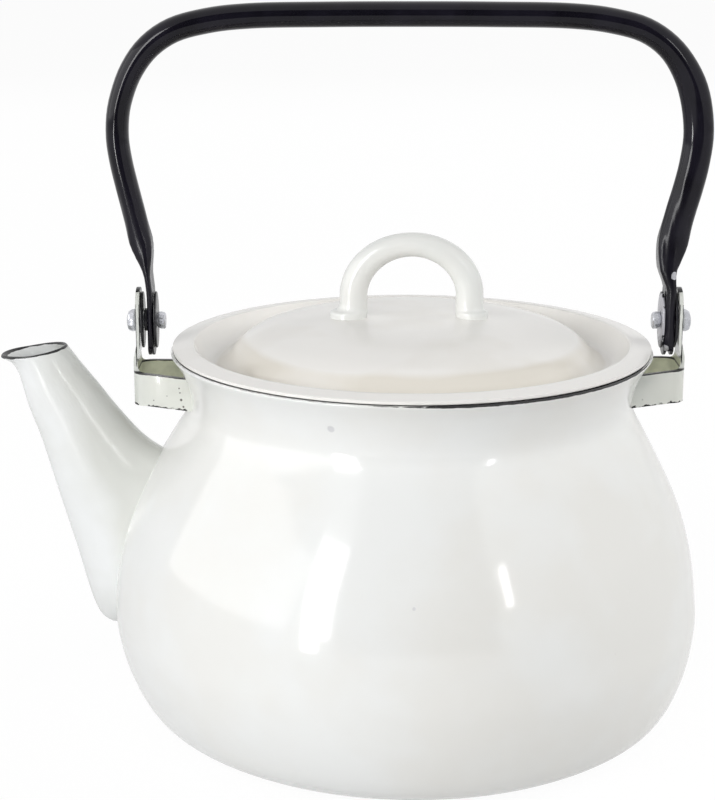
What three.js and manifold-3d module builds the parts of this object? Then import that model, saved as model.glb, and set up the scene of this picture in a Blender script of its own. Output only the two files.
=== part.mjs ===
// Enamelled steel teapot with a lift-off lid and a swinging bail handle.
// Lengths are in millimetres and +Z is up. The pot stands on z = 0 with its axis on x = 0, y = 0.
// The spout points along -X, and the bail swings about an axis along X.
import * as THREE from 'three';
import * as BufferGeometryUtils from 'three/addons/utils/BufferGeometryUtils.js';
import Module from 'manifold-3d';

// Pot: one deep-drawn shell with a flat base, a wide belly and a neck that flares to the rim.
// The belly was drawn a little off centre, so between base and neck it leans towards the spout.
const potWall = 1.2;
const potMaxRadius = 111.9;
const baseInset = 32.4;
const bellyHeight = 42.5;
const bellyLean = 2.1;
const neckInset = 28.6;
const rimHeight = 144;
const flareHeight = 19.5;
const flareReach = 7.3;
const flarePower = 2;
const potBaseRadius = potMaxRadius - baseInset;
const neckRadius = potMaxRadius - neckInset;
const neckHeight = rimHeight - flareHeight;
const rimRadius = neckRadius + flareReach;

// Lower belly from the flat base up to the widest ring, as shares of bellyHeight and of the
// step from potBaseRadius to potMaxRadius.
const lowerBellyShares = [
  [0, 0], [0.021, 0.226], [0.071, 0.406], [0.176, 0.62], [0.294, 0.742], [0.43, 0.83],
  [0.588, 0.905], [0.765, 0.962], [1, 1],
];
// Shoulder from the widest ring up to the neck, as shares of that rise and of the step from
// neckRadius back out to potMaxRadius.
const shoulderShares = [
  [0.122, 0.981], [0.244, 0.94], [0.366, 0.865], [0.488, 0.753], [0.61, 0.596],
  [0.732, 0.408], [0.854, 0.21], [0.927, 0.085], [1, 0],
];
// Heights of the flare's rings, as shares of flareHeight.
const flareShares = [0.35, 0.7, 1];

// Strainer: water holes pierced through the pot wall behind the spout.
const strainerHoleDiameter = 7;
const strainerRingRadius = 14;
const strainerHoleCount = 6;
const strainerHeight = 72;

// Brackets: bent sheet straps on the neck, each with an upright ear that is set in a little and
// carries the bail. The right strap was welded on slightly higher than the left one.
const bracketSheet = 1.4;
const bracketStandOff = 12.6;
const strapDropLeft = 19.8;
const strapDropRight = 18.7;
const strapHeight = 12.4;
const strapHalfSpan = 12.2;
const strapCornerRadius = 5.5;
const strapSplayAngle = 0.24;
const strapLegDrop = 1.7;
const strapLegLength = 26;
const earHalfWidth = 7;
const earTopRise = 12.4;
const earFilletRadius = 4.4;
const earSetIn = 1.15;
const earJogHeight = 5;
const bracketReach = rimRadius + bracketStandOff;
const earReach = bracketReach - earSetIn;
const strapBottomLeft = rimHeight - strapDropLeft;
const strapBottomRight = rimHeight - strapDropRight;

// The brackets and the bail sit a little towards the spout of the pot's own axis.
const bailOffset = -1;

// Spout: a tapered tube welded over the strainer, rising to a slanted pouring mouth.
const spoutWall = 1.2;
const spoutFootStandOff = 2.6;
const spoutFootHeight = 34.6;
const spoutTipRun = 40.6;
const spoutTipDrop = 3.4;
const spoutCrotchStandOff = 14.5;
const spoutCrotchDrop = 18;
const spoutMouthLength = 24.7;
const spoutMouthRise = 4.6;
const spoutFootHalfWidth = 21;
const spoutMouthHalfWidth = 10.5;
const spoutFootReach = potMaxRadius + spoutFootStandOff;
const spoutTipReach = spoutFootReach + spoutTipRun;
const spoutTipHeight = rimHeight - spoutTipDrop;
const spoutCrotchReach = neckRadius + spoutCrotchStandOff;
const spoutCrotchHeight = strapBottomLeft - spoutCrotchDrop;
const spoutBackReach = spoutTipReach - spoutMouthLength;
const spoutBackHeight = spoutTipHeight + spoutMouthRise;
// Under edge from the foot to the pouring tip, as shares of that reach and of that rise. The
// first point lies inside the pot, where the shell is trimmed to the pot wall.
const spoutUnderShares = [
  [-0.36, -0.034], [0, 0], [0.045, 0.003], [0.131, 0.028], [0.197, 0.076], [0.355, 0.299],
  [0.549, 0.564], [0.64, 0.692], [0.763, 0.831], [0.838, 0.94], [0.895, 0.98], [1, 1],
];
// Upper edge from the crotch to the back of the mouth, in the same way.
const spoutOverShares = [
  [-0.3, -0.15], [0, 0], [0.138, 0.092], [0.279, 0.218], [0.463, 0.405], [0.644, 0.608],
  [0.828, 0.803], [1, 1],
];

// Lid: a pressed cover whose flange lies on the rim, with a sunken ring round a low dome.
const lidSheet = 1.2;
const lidEdgeInset = 0.85;
const lidFlangeWidth = 7.15;
const lidCrestRise = 1.1;
const lidRingWidth = 8.1;
const lidTroughDepth = 8;
const lidTroughWidth = 5;
const lidDomeRise = 16.9;
const seatClearance = 0.3;
const lidEdgeRadius = rimRadius - lidEdgeInset;
const lidCrestRadius = lidEdgeRadius - lidFlangeWidth;
const lidTroughRadius = lidCrestRadius - lidRingWidth;
const lidDomeRadius = lidTroughRadius - lidTroughWidth;
// Ring wall from the trough to the crest, as shares of that step outwards and of lidTroughDepth.
const lidRingShares = [[0.35, 0.14], [0.64, 0.45], [0.84, 0.8]];
// Dome from its centre to its foot, as shares of lidDomeRadius and of lidDomeRise.
const lidDomeShares = [
  [0, 1], [0.25, 0.992], [0.45, 0.968], [0.647, 0.89], [0.806, 0.735], [0.892, 0.57],
  [0.95, 0.365], [1, 0.13],
];

// Lid loop: a bent bar grip welded on the dome by its two feet.
const loopOuterHalfWidth = 27;
const loopTopHeight = 42.9;
const loopSpringHeight = 19;
const loopCrownThickness = 9;
const loopLegThickness = 10.4;
const loopThinningPower = 3;
const loopDepth = 9.2;
const loopPadThickness = 2.2;
const loopPadHalfDepth = 6.2;
const loopPadReachLeft = 3.6;
const loopPadReachRight = 1.8;

// Pivot stack inside each ear: friction leaf, blade of the bail, friction leaf, rivet head. The
// more tightly flattened left blade has a spacer washer between itself and the outer leaf.
const pivotRise = 10.7;
const stackDepth = 6.1;
const stackClearance = 0.3;
const leafThickness = 0.8;
const leafHalfWidth = 7;
const leafHalfHeight = 10.7;
const spacerThickness = 1.1;
const spacerDiameter = 8.6;
const rivetShankDiameter = 4.4;
const rivetHoleClearance = 0.3;
const rivetDomeDiameter = 8.6;
const rivetDomeHeight = 3.6;
const rivetInnerHeadDiameter = 6.6;
const rivetInnerHeadNeckShare = 0.88;
const rivetInnerHeadHeight = 2.8;
const pivotHeight = rimHeight + pivotRise;
const earTop = pivotHeight + earTopRise;

// Bail: one steel tube bowed over the pot, with both ends hammered flat into blades. The right
// arm was squeezed wider and starts nearer to its pivot than the left one.
const tubeWall = 0.9;
const barThickness = 9.2;
const barDepth = 10.5;
const armThicknessLeft = 8.5;
const armDepthLeft = 11;
const armThicknessRight = 11.2;
const armDepthRight = 8.6;
const armSwellLeft = 5.4;
const armSwellRight = 3.9;
const bladeDepth = 13.4;
const bladeDrop = 13.4;
const bailRise = 112.8;
const bailHalfWidthLeft = earReach + armSwellLeft;
const bailHalfWidthRight = earReach + armSwellRight;
// Each arm above the pivot, as shares of bailRise and of the step out from its blade to its swell.
const armSharesLeft = [
  [0.09, 0], [0.125, 0.03], [0.206, 0.144], [0.286, 0.34], [0.366, 0.526], [0.445, 0.72],
  [0.524, 0.898], [0.6, 1], [0.68, 0.96],
];
const armSharesRight = [
  [0.07, 0], [0.105, 0.03], [0.135, -0.04], [0.172, -0.13], [0.21, -0.07], [0.286, 0.13],
  [0.366, 0.38], [0.445, 0.66], [0.524, 0.88], [0.62, 1],
];
// Corner and top bar, as shares of bailRise and of the arm's half width.
const bailTopShares = [
  [0.738, 0.982], [0.818, 0.948], [0.893, 0.89], [0.948, 0.806], [0.98, 0.682],
  [0.994, 0.548], [0.999, 0.28],
];
// The flat blades end and the full arms begin at these shares of bailRise, and so do the places
// where the arms run out and the top bar begins.
const bladeEndShareLeft = 0.14;
const bladeEndShareRight = 0.1;
const armStartShare = 0.28;
const armEndShare = 0.72;
const barStartShare = 0.95;
const bladeSquareness = 4;
const tubeSquareness = 2;

// Welds and trims: a hairline is kept between neighbouring shells, and cuts run past by overrun.
const jointGap = 0.3;
const overrun = 6;

// Facets of the revolved, swept and drilled forms.
const revolveFacets = 44;
const potProfileSteps = 21;
const lidProfileSteps = 20;
const spoutFacets = 24;
const spoutStations = 12;
const bailFacets = 12;
const bailStations = 54;
const loopFacets = 12;
const loopStations = 24;
const drillFacets = 16;
const filletFacets = 5;

// Colours of the finishes.
const potWhite = 0xf2f3f0;
const spoutWhite = 0xeef0ee;
const lidWhite = 0xe6e3dd;
const loopWhite = 0xf0f1ee;
const bracketWhite = 0xe4e8e4;
const bailBlack = 0x16161c;
const leafBlack = 0x1b1b1d;
const spacerBlack = 0x202024;
const rivetSteel = 0xc9cbd0;

const outward = new THREE.Vector3(1, 0, 0);
const rearward = new THREE.Vector3(0, 1, 0);
const upward = new THREE.Vector3(0, 0, 1);
// Flat shapes are drawn upright and extruded sideways with these frames.
const facingOutward = new THREE.Matrix4().makeBasis(rearward, upward, outward);
const facingForward = new THREE.Matrix4().makeBasis(outward, upward, rearward.clone().negate());
// Revolved shapes are drawn as radius and height and stood up on +Z.
const standingUp = new THREE.Matrix4().makeRotationX(Math.PI / 2);
// Turned parts of the pivot are drawn as radius and length and laid along +X.
const lyingOutward = new THREE.Matrix4().makeRotationZ(-Math.PI / 2);

const wasm = await Module();
wasm.setup();

// A closed solid from a geometry, with its faces turned to point out.
function toSolid(geometry, placement = new THREE.Matrix4()) {
  const bare = new THREE.BufferGeometry();
  bare.setAttribute('position', geometry.getAttribute('position').clone());
  if (geometry.index) bare.setIndex(geometry.index.clone());
  bare.applyMatrix4(placement);
  const merged = BufferGeometryUtils.mergeVertices(bare);
  const vertProperties = new Float32Array(merged.getAttribute('position').array);
  const triVerts = dropSlivers(new Uint32Array(merged.index.array));
  if (signedVolume(vertProperties, triVerts) < 0) triVerts.reverse();
  return new wasm.Manifold(new wasm.Mesh({ numProp: 3, vertProperties, triVerts }));
}

// Triangles without those whose corners fell together, as they do on a revolve's axis.
function dropSlivers(triVerts) {
  const kept = [];
  for (let t = 0; t < triVerts.length; t += 3) {
    const [a, b, c] = [triVerts[t], triVerts[t + 1], triVerts[t + 2]];
    if (a !== b && b !== c && c !== a) kept.push(a, b, c);
  }
  return new Uint32Array(kept);
}

function signedVolume(positions, triVerts) {
  let total = 0;
  const corner = (index) => new THREE.Vector3().fromArray(positions, 3 * index);
  for (let t = 0; t < triVerts.length; t += 3) {
    const a = corner(triVerts[t]);
    total += a.dot(corner(triVerts[t + 1]).cross(corner(triVerts[t + 2])));
  }
  return total;
}

function toGeometry(solid) {
  const mesh = solid.getMesh();
  const geometry = new THREE.BufferGeometry();
  geometry.setAttribute('position', new THREE.BufferAttribute(mesh.vertProperties, 3));
  geometry.setIndex(new THREE.BufferAttribute(mesh.triVerts, 1));
  geometry.computeVertexNormals();
  return geometry;
}

// One shell skinned over a run of equal rings. A closed run joins its last ring to its first,
// and an open run is capped at both ends.
function skin(rings, closedRun) {
  const size = rings[0].length;
  const positions = rings.flat().flatMap((point) => point.toArray());
  const indices = [];
  const runs = closedRun ? rings.length : rings.length - 1;
  for (let r = 0; r < runs; r += 1) {
    for (let k = 0; k < size; k += 1) {
      const here = r * size;
      const there = ((r + 1) % rings.length) * size;
      const next = (k + 1) % size;
      indices.push(here + k, here + next, there + next);
      indices.push(here + k, there + next, there + k);
    }
  }
  if (!closedRun) {
    const last = (rings.length - 1) * size;
    for (let k = 1; k < size - 1; k += 1) {
      indices.push(0, k + 1, k);
      indices.push(last, last + k, last + k + 1);
    }
  }
  const geometry = new THREE.BufferGeometry();
  geometry.setAttribute('position', new THREE.Float32BufferAttribute(positions, 3));
  geometry.setIndex(indices);
  return geometry;
}

// Profile points moved to the left of their direction of travel.
function offsetProfile(points, distance) {
  return points.map((point, index) => {
    const before = points[Math.max(index - 1, 0)];
    const after = points[Math.min(index + 1, points.length - 1)];
    const along = new THREE.Vector2().subVectors(after, before).normalize();
    return new THREE.Vector2(point.x - along.y * distance, point.y + along.x * distance);
  });
}

function mix(from, to, share) {
  return from + (to - from) * share;
}

function revolve(profile) {
  return toSolid(new THREE.LatheGeometry(profile, revolveFacets), standingUp);
}

function drill(radius, length) {
  const cylinder = new THREE.CylinderGeometry(radius, radius, length, drillFacets);
  return toSolid(cylinder, lyingOutward);
}

function extrude(shape, depth, placement) {
  const geometry = new THREE.ExtrudeGeometry(shape, {
    depth, bevelEnabled: false, curveSegments: filletFacets,
  });
  return toSolid(geometry, placement);
}

// Pot profile from the centre of the base out and up to the rim.
function potOuterProfile() {
  const belly = lowerBellyShares.map(([rise, step]) => new THREE.Vector2(
    mix(potBaseRadius, potMaxRadius, step), rise * bellyHeight,
  ));
  const shoulder = shoulderShares.map(([rise, step]) => new THREE.Vector2(
    mix(neckRadius, potMaxRadius, step), mix(bellyHeight, neckHeight, rise),
  ));
  const flare = flareShares.map((rise) => new THREE.Vector2(
    mix(neckRadius, rimRadius, rise ** flarePower), mix(neckHeight, rimHeight, rise),
  ));
  const side = new THREE.SplineCurve([...belly, ...shoulder, ...flare]);
  return side.getSpacedPoints(potProfileSteps);
}

const potOuter = potOuterProfile();
const potInner = offsetProfile(potOuter, potWall);
potInner[0].set(potOuter[0].x, potWall);
const rimTop = Math.max(potOuter.at(-1).y, potInner.at(-1).y);

// A revolved form of the pot, whose belly is then moved over by its lean.
function revolveLeaning(profile) {
  const geometry = new THREE.LatheGeometry(profile, revolveFacets).applyMatrix4(standingUp);
  const places = geometry.getAttribute('position');
  for (let k = 0; k < places.count; k += 1) {
    const rise = THREE.MathUtils.clamp(places.getZ(k) / neckHeight, 0, 1);
    places.setX(k, places.getX(k) - bellyLean * Math.sin(Math.PI * rise));
  }
  return toSolid(geometry);
}

// The pot's outside, grown by the hairline, as a cutter for what is welded to it.
function potEnvelope() {
  const grown = offsetProfile(potOuter, -jointGap);
  const top = rimTop + overrun;
  return revolveLeaning([
    new THREE.Vector2(0, -overrun),
    new THREE.Vector2(potBaseRadius, -overrun),
    ...grown,
    new THREE.Vector2(grown.at(-1).x, top),
    new THREE.Vector2(0, top),
  ]);
}
const envelope = potEnvelope();

function makePot() {
  const shell = revolveLeaning([
    new THREE.Vector2(0, 0),
    ...potOuter,
    ...potInner.toReversed(),
    new THREE.Vector2(0, potWall),
  ]);
  const places = [[0, 0]];
  for (let k = 0; k < strainerHoleCount; k += 1) {
    const turn = (2 * Math.PI * k) / strainerHoleCount;
    places.push([strainerRingRadius * Math.sin(turn), strainerRingRadius * Math.cos(turn)]);
  }
  const drillLength = 2 * (potMaxRadius - neckRadius);
  return places.reduce((pot, [y, z]) => {
    const hole = drill(strainerHoleDiameter / 2, drillLength);
    return pot.subtract(hole.translate(-potMaxRadius, y, strainerHeight + z));
  }, shell);
}

// An edge of the spout in the handle's plane, from its table of shares.
function spoutEdge(shares, startReach, startHeight, endReach, endHeight) {
  const points = shares.map(([out, rise]) => new THREE.Vector3(
    -mix(startReach, endReach, out), 0, mix(startHeight, endHeight, rise),
  ));
  return new THREE.CatmullRomCurve3(points, false, 'centripetal');
}

// One ring of the spout between its two edges, drawn in by inset on the bore side.
function spoutRing(under, over, halfWidth, inset) {
  const centre = new THREE.Vector3().addVectors(under, over).multiplyScalar(0.5);
  const across = new THREE.Vector3().subVectors(over, under);
  const halfHeight = across.length() / 2;
  across.normalize();
  const ring = [];
  for (let k = 0; k < spoutFacets; k += 1) {
    const turn = (2 * Math.PI * k) / spoutFacets;
    ring.push(centre.clone()
      .addScaledVector(across, (halfHeight - inset) * Math.cos(turn))
      .addScaledVector(rearward, (halfWidth - inset) * Math.sin(turn)));
  }
  return ring;
}

function makeSpout() {
  const under = spoutEdge(
    spoutUnderShares, spoutFootReach, spoutFootHeight, spoutTipReach, spoutTipHeight,
  );
  const over = spoutEdge(
    spoutOverShares, spoutCrotchReach, spoutCrotchHeight, spoutBackReach, spoutBackHeight,
  );
  const outer = [];
  const bore = [];
  for (let s = 0; s <= spoutStations; s += 1) {
    const share = s / spoutStations;
    const low = under.getPointAt(share);
    const high = over.getPointAt(share);
    const halfWidth = mix(spoutFootHalfWidth, spoutMouthHalfWidth, share);
    // A slanted ring needs a deeper inset to keep the wall's thickness square to its face.
    const lean = new THREE.Vector3().subVectors(high, low).normalize();
    const run = spoutAxis(under, over, share);
    const square = Math.sqrt(1 - lean.dot(run) ** 2);
    outer.push(spoutRing(low, high, halfWidth, 0));
    bore.push(spoutRing(low, high, halfWidth, spoutWall / square));
  }
  return toSolid(skin([...outer, ...bore.toReversed()], true)).subtract(envelope);
}

// Direction of the spout's centre line at a share of its length.
function spoutAxis(under, over, share) {
  const step = 1 / spoutStations;
  const from = Math.max(share - step, 0);
  const to = Math.min(share + step, 1);
  const ends = [from, to].map((at) => new THREE.Vector3()
    .addVectors(under.getPointAt(at), over.getPointAt(at)));
  return ends[1].sub(ends[0]).normalize();
}

// Lid profile in the lid's own frame, whose z = 0 is the underside of the flange's edge.
const lidCrestHeight = lidSheet + lidCrestRise;
const lidTroughHeight = lidCrestHeight - lidTroughDepth;
const lidDomeTop = lidTroughHeight + lidDomeRise;
const lidSeat = rimTop + seatClearance;

function lidTopProfile() {
  const dome = lidDomeShares.map(([out, rise]) => new THREE.Vector2(
    out * lidDomeRadius, lidTroughHeight + rise * lidDomeRise,
  ));
  const ring = lidRingShares.map(([out, rise]) => new THREE.Vector2(
    mix(lidTroughRadius, lidCrestRadius, out), lidTroughHeight + rise * lidTroughDepth,
  ));
  const across = new THREE.SplineCurve([
    ...dome,
    new THREE.Vector2(lidTroughRadius, lidTroughHeight),
    ...ring,
    new THREE.Vector2(lidCrestRadius, lidCrestHeight),
    new THREE.Vector2(lidEdgeRadius, lidSheet),
  ]);
  return across.getSpacedPoints(lidProfileSteps);
}
const lidTop = lidTopProfile();

function makeLidShell() {
  const underside = offsetProfile(lidTop, -lidSheet);
  underside[0].setX(0);
  return revolve([...lidTop, ...underside.toReversed()]);
}

// The space under the lid's top face and the hairline above it, as a cutter for the loop's feet.
function lidEnvelope() {
  const grown = offsetProfile(lidTop, jointGap);
  grown[0].setX(0);
  const floor = lidTroughHeight - overrun;
  return revolve([...grown, new THREE.Vector2(grown.at(-1).x, floor), new THREE.Vector2(0, floor)]);
}

function makeLidLoop() {
  const halfWidth = loopOuterHalfWidth - loopLegThickness / 2;
  const crownHeight = loopTopHeight - loopCrownThickness / 2;
  const footHeight = lidDomeTop - overrun;
  const rings = [];
  for (let s = 0; s <= loopStations; s += 1) {
    const turn = Math.PI * (s / loopStations);
    const centre = new THREE.Vector3(
      -halfWidth * Math.cos(turn), 0, mix(loopSpringHeight, crownHeight, Math.sin(turn)),
    );
    const inPlane = new THREE.Vector3(
      -Math.cos(turn) / halfWidth, 0, Math.sin(turn) / (crownHeight - loopSpringHeight),
    ).normalize();
    const thinning = Math.sin(turn) ** loopThinningPower;
    const thickness = mix(loopLegThickness, loopCrownThickness, thinning);
    rings.push(ovalRing(centre, inPlane, thickness / 2, loopDepth / 2, loopFacets));
  }
  const dropTo = (ring) => ring.map((point) => point.clone().setZ(footHeight));
  const bar = toSolid(skin([dropTo(rings[0]), ...rings, dropTo(rings.at(-1))], false));
  const left = makeLoopPad(-1, halfWidth, loopPadReachLeft, footHeight);
  const right = makeLoopPad(1, halfWidth, loopPadReachRight, footHeight);
  return bar.add(left).add(right).subtract(lidEnvelope());
}

// A flat oval pad round one foot of the loop, which the dome's surface trims from below.
function makeLoopPad(side, halfWidth, reach, footHeight) {
  const padTop = lidDomeTop + jointGap + loopPadThickness;
  const halfLength = loopLegThickness / 2 + reach / 2;
  const shape = new THREE.Shape();
  const centreX = side * (halfWidth + reach / 2);
  shape.absellipse(centreX, 0, halfLength, loopPadHalfDepth, 0, 2 * Math.PI);
  const placement = new THREE.Matrix4().makeTranslation(0, 0, footHeight);
  return extrude(shape, padTop - footHeight, placement);
}

// An oval ring square to a path in the handle's plane.
function ovalRing(centre, inPlane, halfThickness, halfDepth, facets, squareness = tubeSquareness) {
  const ring = [];
  for (let k = 0; k < facets; k += 1) {
    const turn = (2 * Math.PI * k) / facets;
    const swell = (value) => Math.sign(value) * Math.abs(value) ** (2 / squareness);
    ring.push(centre.clone()
      .addScaledVector(inPlane, halfThickness * swell(Math.cos(turn)))
      .addScaledVector(rearward, halfDepth * swell(Math.sin(turn))));
  }
  return ring;
}

// Strap seen from above: an outboard face, two rounded corners and two legs that splay to the pot.
function strapPlan() {
  const centreX = bracketReach - strapCornerRadius;
  const centreY = strapHalfSpan - strapCornerRadius;
  const turn = Math.PI / 2 - strapSplayAngle;
  const innerRadius = strapCornerRadius - bracketSheet;
  const legEnd = (side, radius) => new THREE.Vector2(
    centreX + radius * Math.cos(turn) - strapLegLength * Math.sin(turn),
    side * (centreY + radius * Math.sin(turn) + strapLegLength * Math.cos(turn)),
  );
  const lowerOuter = legEnd(-1, strapCornerRadius);
  const upperOuter = legEnd(1, strapCornerRadius);
  const upperInner = legEnd(1, innerRadius);
  const lowerInner = legEnd(-1, innerRadius);
  const plan = new THREE.Shape();
  plan.moveTo(lowerOuter.x, lowerOuter.y);
  plan.absarc(centreX, -centreY, strapCornerRadius, -turn, 0, false);
  plan.absarc(centreX, centreY, strapCornerRadius, 0, turn, false);
  plan.lineTo(upperOuter.x, upperOuter.y);
  plan.lineTo(upperInner.x, upperInner.y);
  plan.absarc(centreX, centreY, innerRadius, turn, 0, true);
  plan.absarc(centreX, -centreY, innerRadius, 0, -turn, true);
  plan.lineTo(lowerInner.x, lowerInner.y);
  plan.closePath();
  return plan;
}

// Bracket seen from outboard: the strap, and the ear that rises from it through two fillets.
function bracketSide(strapBottom) {
  const strapTop = strapBottom + strapHeight;
  const halfSpan = strapHalfSpan + strapLegLength;
  const low = strapBottom - overrun;
  const filletX = earHalfWidth + earFilletRadius;
  const filletZ = strapTop + earFilletRadius;
  const side = new THREE.Shape();
  side.moveTo(-halfSpan, low);
  side.lineTo(halfSpan, low);
  side.lineTo(halfSpan, strapTop);
  side.absarc(filletX, filletZ, earFilletRadius, -Math.PI / 2, -Math.PI, true);
  side.absarc(0, earTop - earHalfWidth, earHalfWidth, 0, Math.PI, false);
  side.absarc(-filletX, filletZ, earFilletRadius, 0, -Math.PI / 2, true);
  side.lineTo(-halfSpan, strapTop);
  side.closePath();
  return side;
}

// Strap and ear foot seen from the front: the legs fall a little towards the pot.
function strapFront(strapBottom) {
  const strapTop = strapBottom + strapHeight;
  const footTop = strapTop + earFilletRadius;
  const outer = bracketReach + overrun;
  const corner = bracketReach - strapCornerRadius;
  const inner = corner - strapLegLength;
  const front = new THREE.Shape();
  front.moveTo(inner, strapBottom - strapLegDrop);
  front.lineTo(corner, strapBottom);
  front.lineTo(outer, strapBottom);
  front.lineTo(outer, footTop);
  front.lineTo(corner, footTop);
  front.lineTo(corner, strapTop);
  front.lineTo(inner, strapTop - strapLegDrop);
  front.closePath();
  return front;
}

// Ear seen from the front: the sheet jogs inwards above the fillets and then stands upright.
function earFront(strapBottom) {
  const footTop = strapBottom + strapHeight + earFilletRadius;
  const jogTop = footTop + earJogHeight;
  const top = earTop + overrun;
  const front = new THREE.Shape();
  front.moveTo(bracketReach, footTop - bracketSheet);
  front.lineTo(bracketReach, footTop);
  front.lineTo(earReach, jogTop);
  front.lineTo(earReach, top);
  front.lineTo(earReach - bracketSheet, top);
  front.lineTo(earReach - bracketSheet, jogTop);
  front.lineTo(bracketReach - bracketSheet, footTop);
  front.lineTo(bracketReach - bracketSheet, footTop - bracketSheet);
  front.closePath();
  return front;
}

// A bracket in its own outward frame, trimmed to the pot as it stands in that frame.
function makeBracket(sign, strapBottom) {
  const pot = envelope.rotate([0, 0, sign > 0 ? 0 : 180]).translate(-sign * bailOffset, 0, 0);
  const span = 2 * (strapHalfSpan + strapLegLength);
  const low = strapBottom - overrun;
  const strapPlace = new THREE.Matrix4().makeTranslation(0, 0, low);
  const frontPlace = new THREE.Matrix4().makeTranslation(0, span / 2, 0).multiply(facingForward);
  const strap = extrude(strapPlan(), earTop - low, strapPlace)
    .intersect(extrude(strapFront(strapBottom), span, frontPlace));
  const ear = extrude(earFront(strapBottom), span, frontPlace);
  const side = extrude(bracketSide(strapBottom), 2 * bracketReach, facingOutward);
  const hole = drill(rivetShankDiameter / 2 + rivetHoleClearance, 2 * overrun);
  return strap.add(ear).intersect(side)
    .subtract(hole.translate(earReach, 0, pivotHeight))
    .subtract(pot);
}

// Places along the pivot's axis, counted outwards from the bail's middle.
const earInnerFace = earReach - bracketSheet;
const outerLeafPlace = earInnerFace - stackClearance - leafThickness;
const spacerPlace = outerLeafPlace - stackClearance - spacerThickness;
const bladeOuterRight = outerLeafPlace - stackClearance;
const bladeOuterLeft = spacerPlace - stackClearance;
const innerLeafPlace = earInnerFace - stackDepth;
const bladeInnerFace = innerLeafPlace + leafThickness + stackClearance;

// A friction leaf, an upright oval with the rivet's hole, lying along +X from zero.
function makeLeaf() {
  const leaf = new THREE.Shape();
  leaf.absellipse(0, 0, leafHalfWidth, leafHalfHeight, 0, 2 * Math.PI);
  const solid = extrude(leaf, leafThickness, facingOutward);
  return solid.subtract(drill(rivetShankDiameter / 2 + rivetHoleClearance, overrun));
}

// A turned piece from a profile of radius and place along the pivot's axis.
function turned(profile) {
  return toSolid(new THREE.LatheGeometry(profile, drillFacets), lyingOutward);
}

function makeSpacer() {
  const bore = rivetShankDiameter / 2 + rivetHoleClearance;
  return turned([
    new THREE.Vector2(bore, 0),
    new THREE.Vector2(spacerDiameter / 2, 0),
    new THREE.Vector2(spacerDiameter / 2, spacerThickness),
    new THREE.Vector2(bore, spacerThickness),
    new THREE.Vector2(bore, 0),
  ]);
}

// The rivet along the pivot's axis: hammered inner head, shank and domed outer head.
function makeRivet() {
  const shank = rivetShankDiameter / 2;
  const headSeat = innerLeafPlace - stackClearance;
  const headEnd = headSeat - rivetInnerHeadHeight;
  const headRadius = rivetInnerHeadDiameter / 2;
  const domeSeat = earReach + stackClearance;
  const domeRadius = rivetDomeDiameter / 2;
  const dome = [];
  for (let k = 0; k <= filletFacets; k += 1) {
    const turn = (Math.PI / 2) * (k / filletFacets);
    dome.push(new THREE.Vector2(
      domeRadius * Math.cos(turn), domeSeat + rivetDomeHeight * Math.sin(turn),
    ));
  }
  dome.at(-1).setX(0);
  return turned([
    new THREE.Vector2(0, headEnd),
    new THREE.Vector2(headRadius, headEnd),
    new THREE.Vector2(headRadius * rivetInnerHeadNeckShare, headSeat),
    new THREE.Vector2(shank, headSeat),
    new THREE.Vector2(shank, domeSeat),
    ...dome,
  ]);
}

// The bail's two sides: which way they lie, their blades, arms and centre lines.
const bailLeft = {
  sign: -1,
  blade: bladeOuterLeft - bladeInnerFace,
  halfWidth: bailHalfWidthLeft,
  armShares: armSharesLeft,
  armThickness: armThicknessLeft,
  armDepth: armDepthLeft,
  bladeEnd: bladeEndShareLeft,
};
const bailRight = {
  sign: 1,
  blade: bladeOuterRight - bladeInnerFace,
  halfWidth: bailHalfWidthRight,
  armShares: armSharesRight,
  armThickness: armThicknessRight,
  armDepth: armDepthRight,
  bladeEnd: bladeEndShareRight,
};

// Centre line of one side of the bail, from its blade's tip up and in along the top bar.
function bailSide({ sign, blade, halfWidth, armShares }) {
  const bladeCentre = bladeInnerFace + blade / 2;
  return [
    new THREE.Vector3(sign * bladeCentre, 0, pivotHeight - bladeDrop - overrun),
    new THREE.Vector3(sign * bladeCentre, 0, pivotHeight),
    ...armShares.map(([rise, out]) => new THREE.Vector3(
      sign * mix(bladeCentre, halfWidth, out), 0, pivotHeight + rise * bailRise,
    )),
    ...bailTopShares.map(([rise, out]) => new THREE.Vector3(
      sign * out * halfWidth, 0, pivotHeight + rise * bailRise,
    )),
  ];
}

// Thickness, depth and squareness of the bail's section at a share of its rise.
function bailSection({ blade, armThickness, armDepth, bladeEnd }, rise) {
  const full = THREE.MathUtils.smoothstep(rise, bladeEnd, armStartShare);
  const bar = THREE.MathUtils.smoothstep(rise, armEndShare, barStartShare);
  return {
    halfThickness: mix(mix(blade, armThickness, full), barThickness, bar) / 2,
    halfDepth: mix(mix(bladeDepth, armDepth, full), barDepth, bar) / 2,
    squareness: mix(bladeSquareness, tubeSquareness, full),
  };
}

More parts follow.
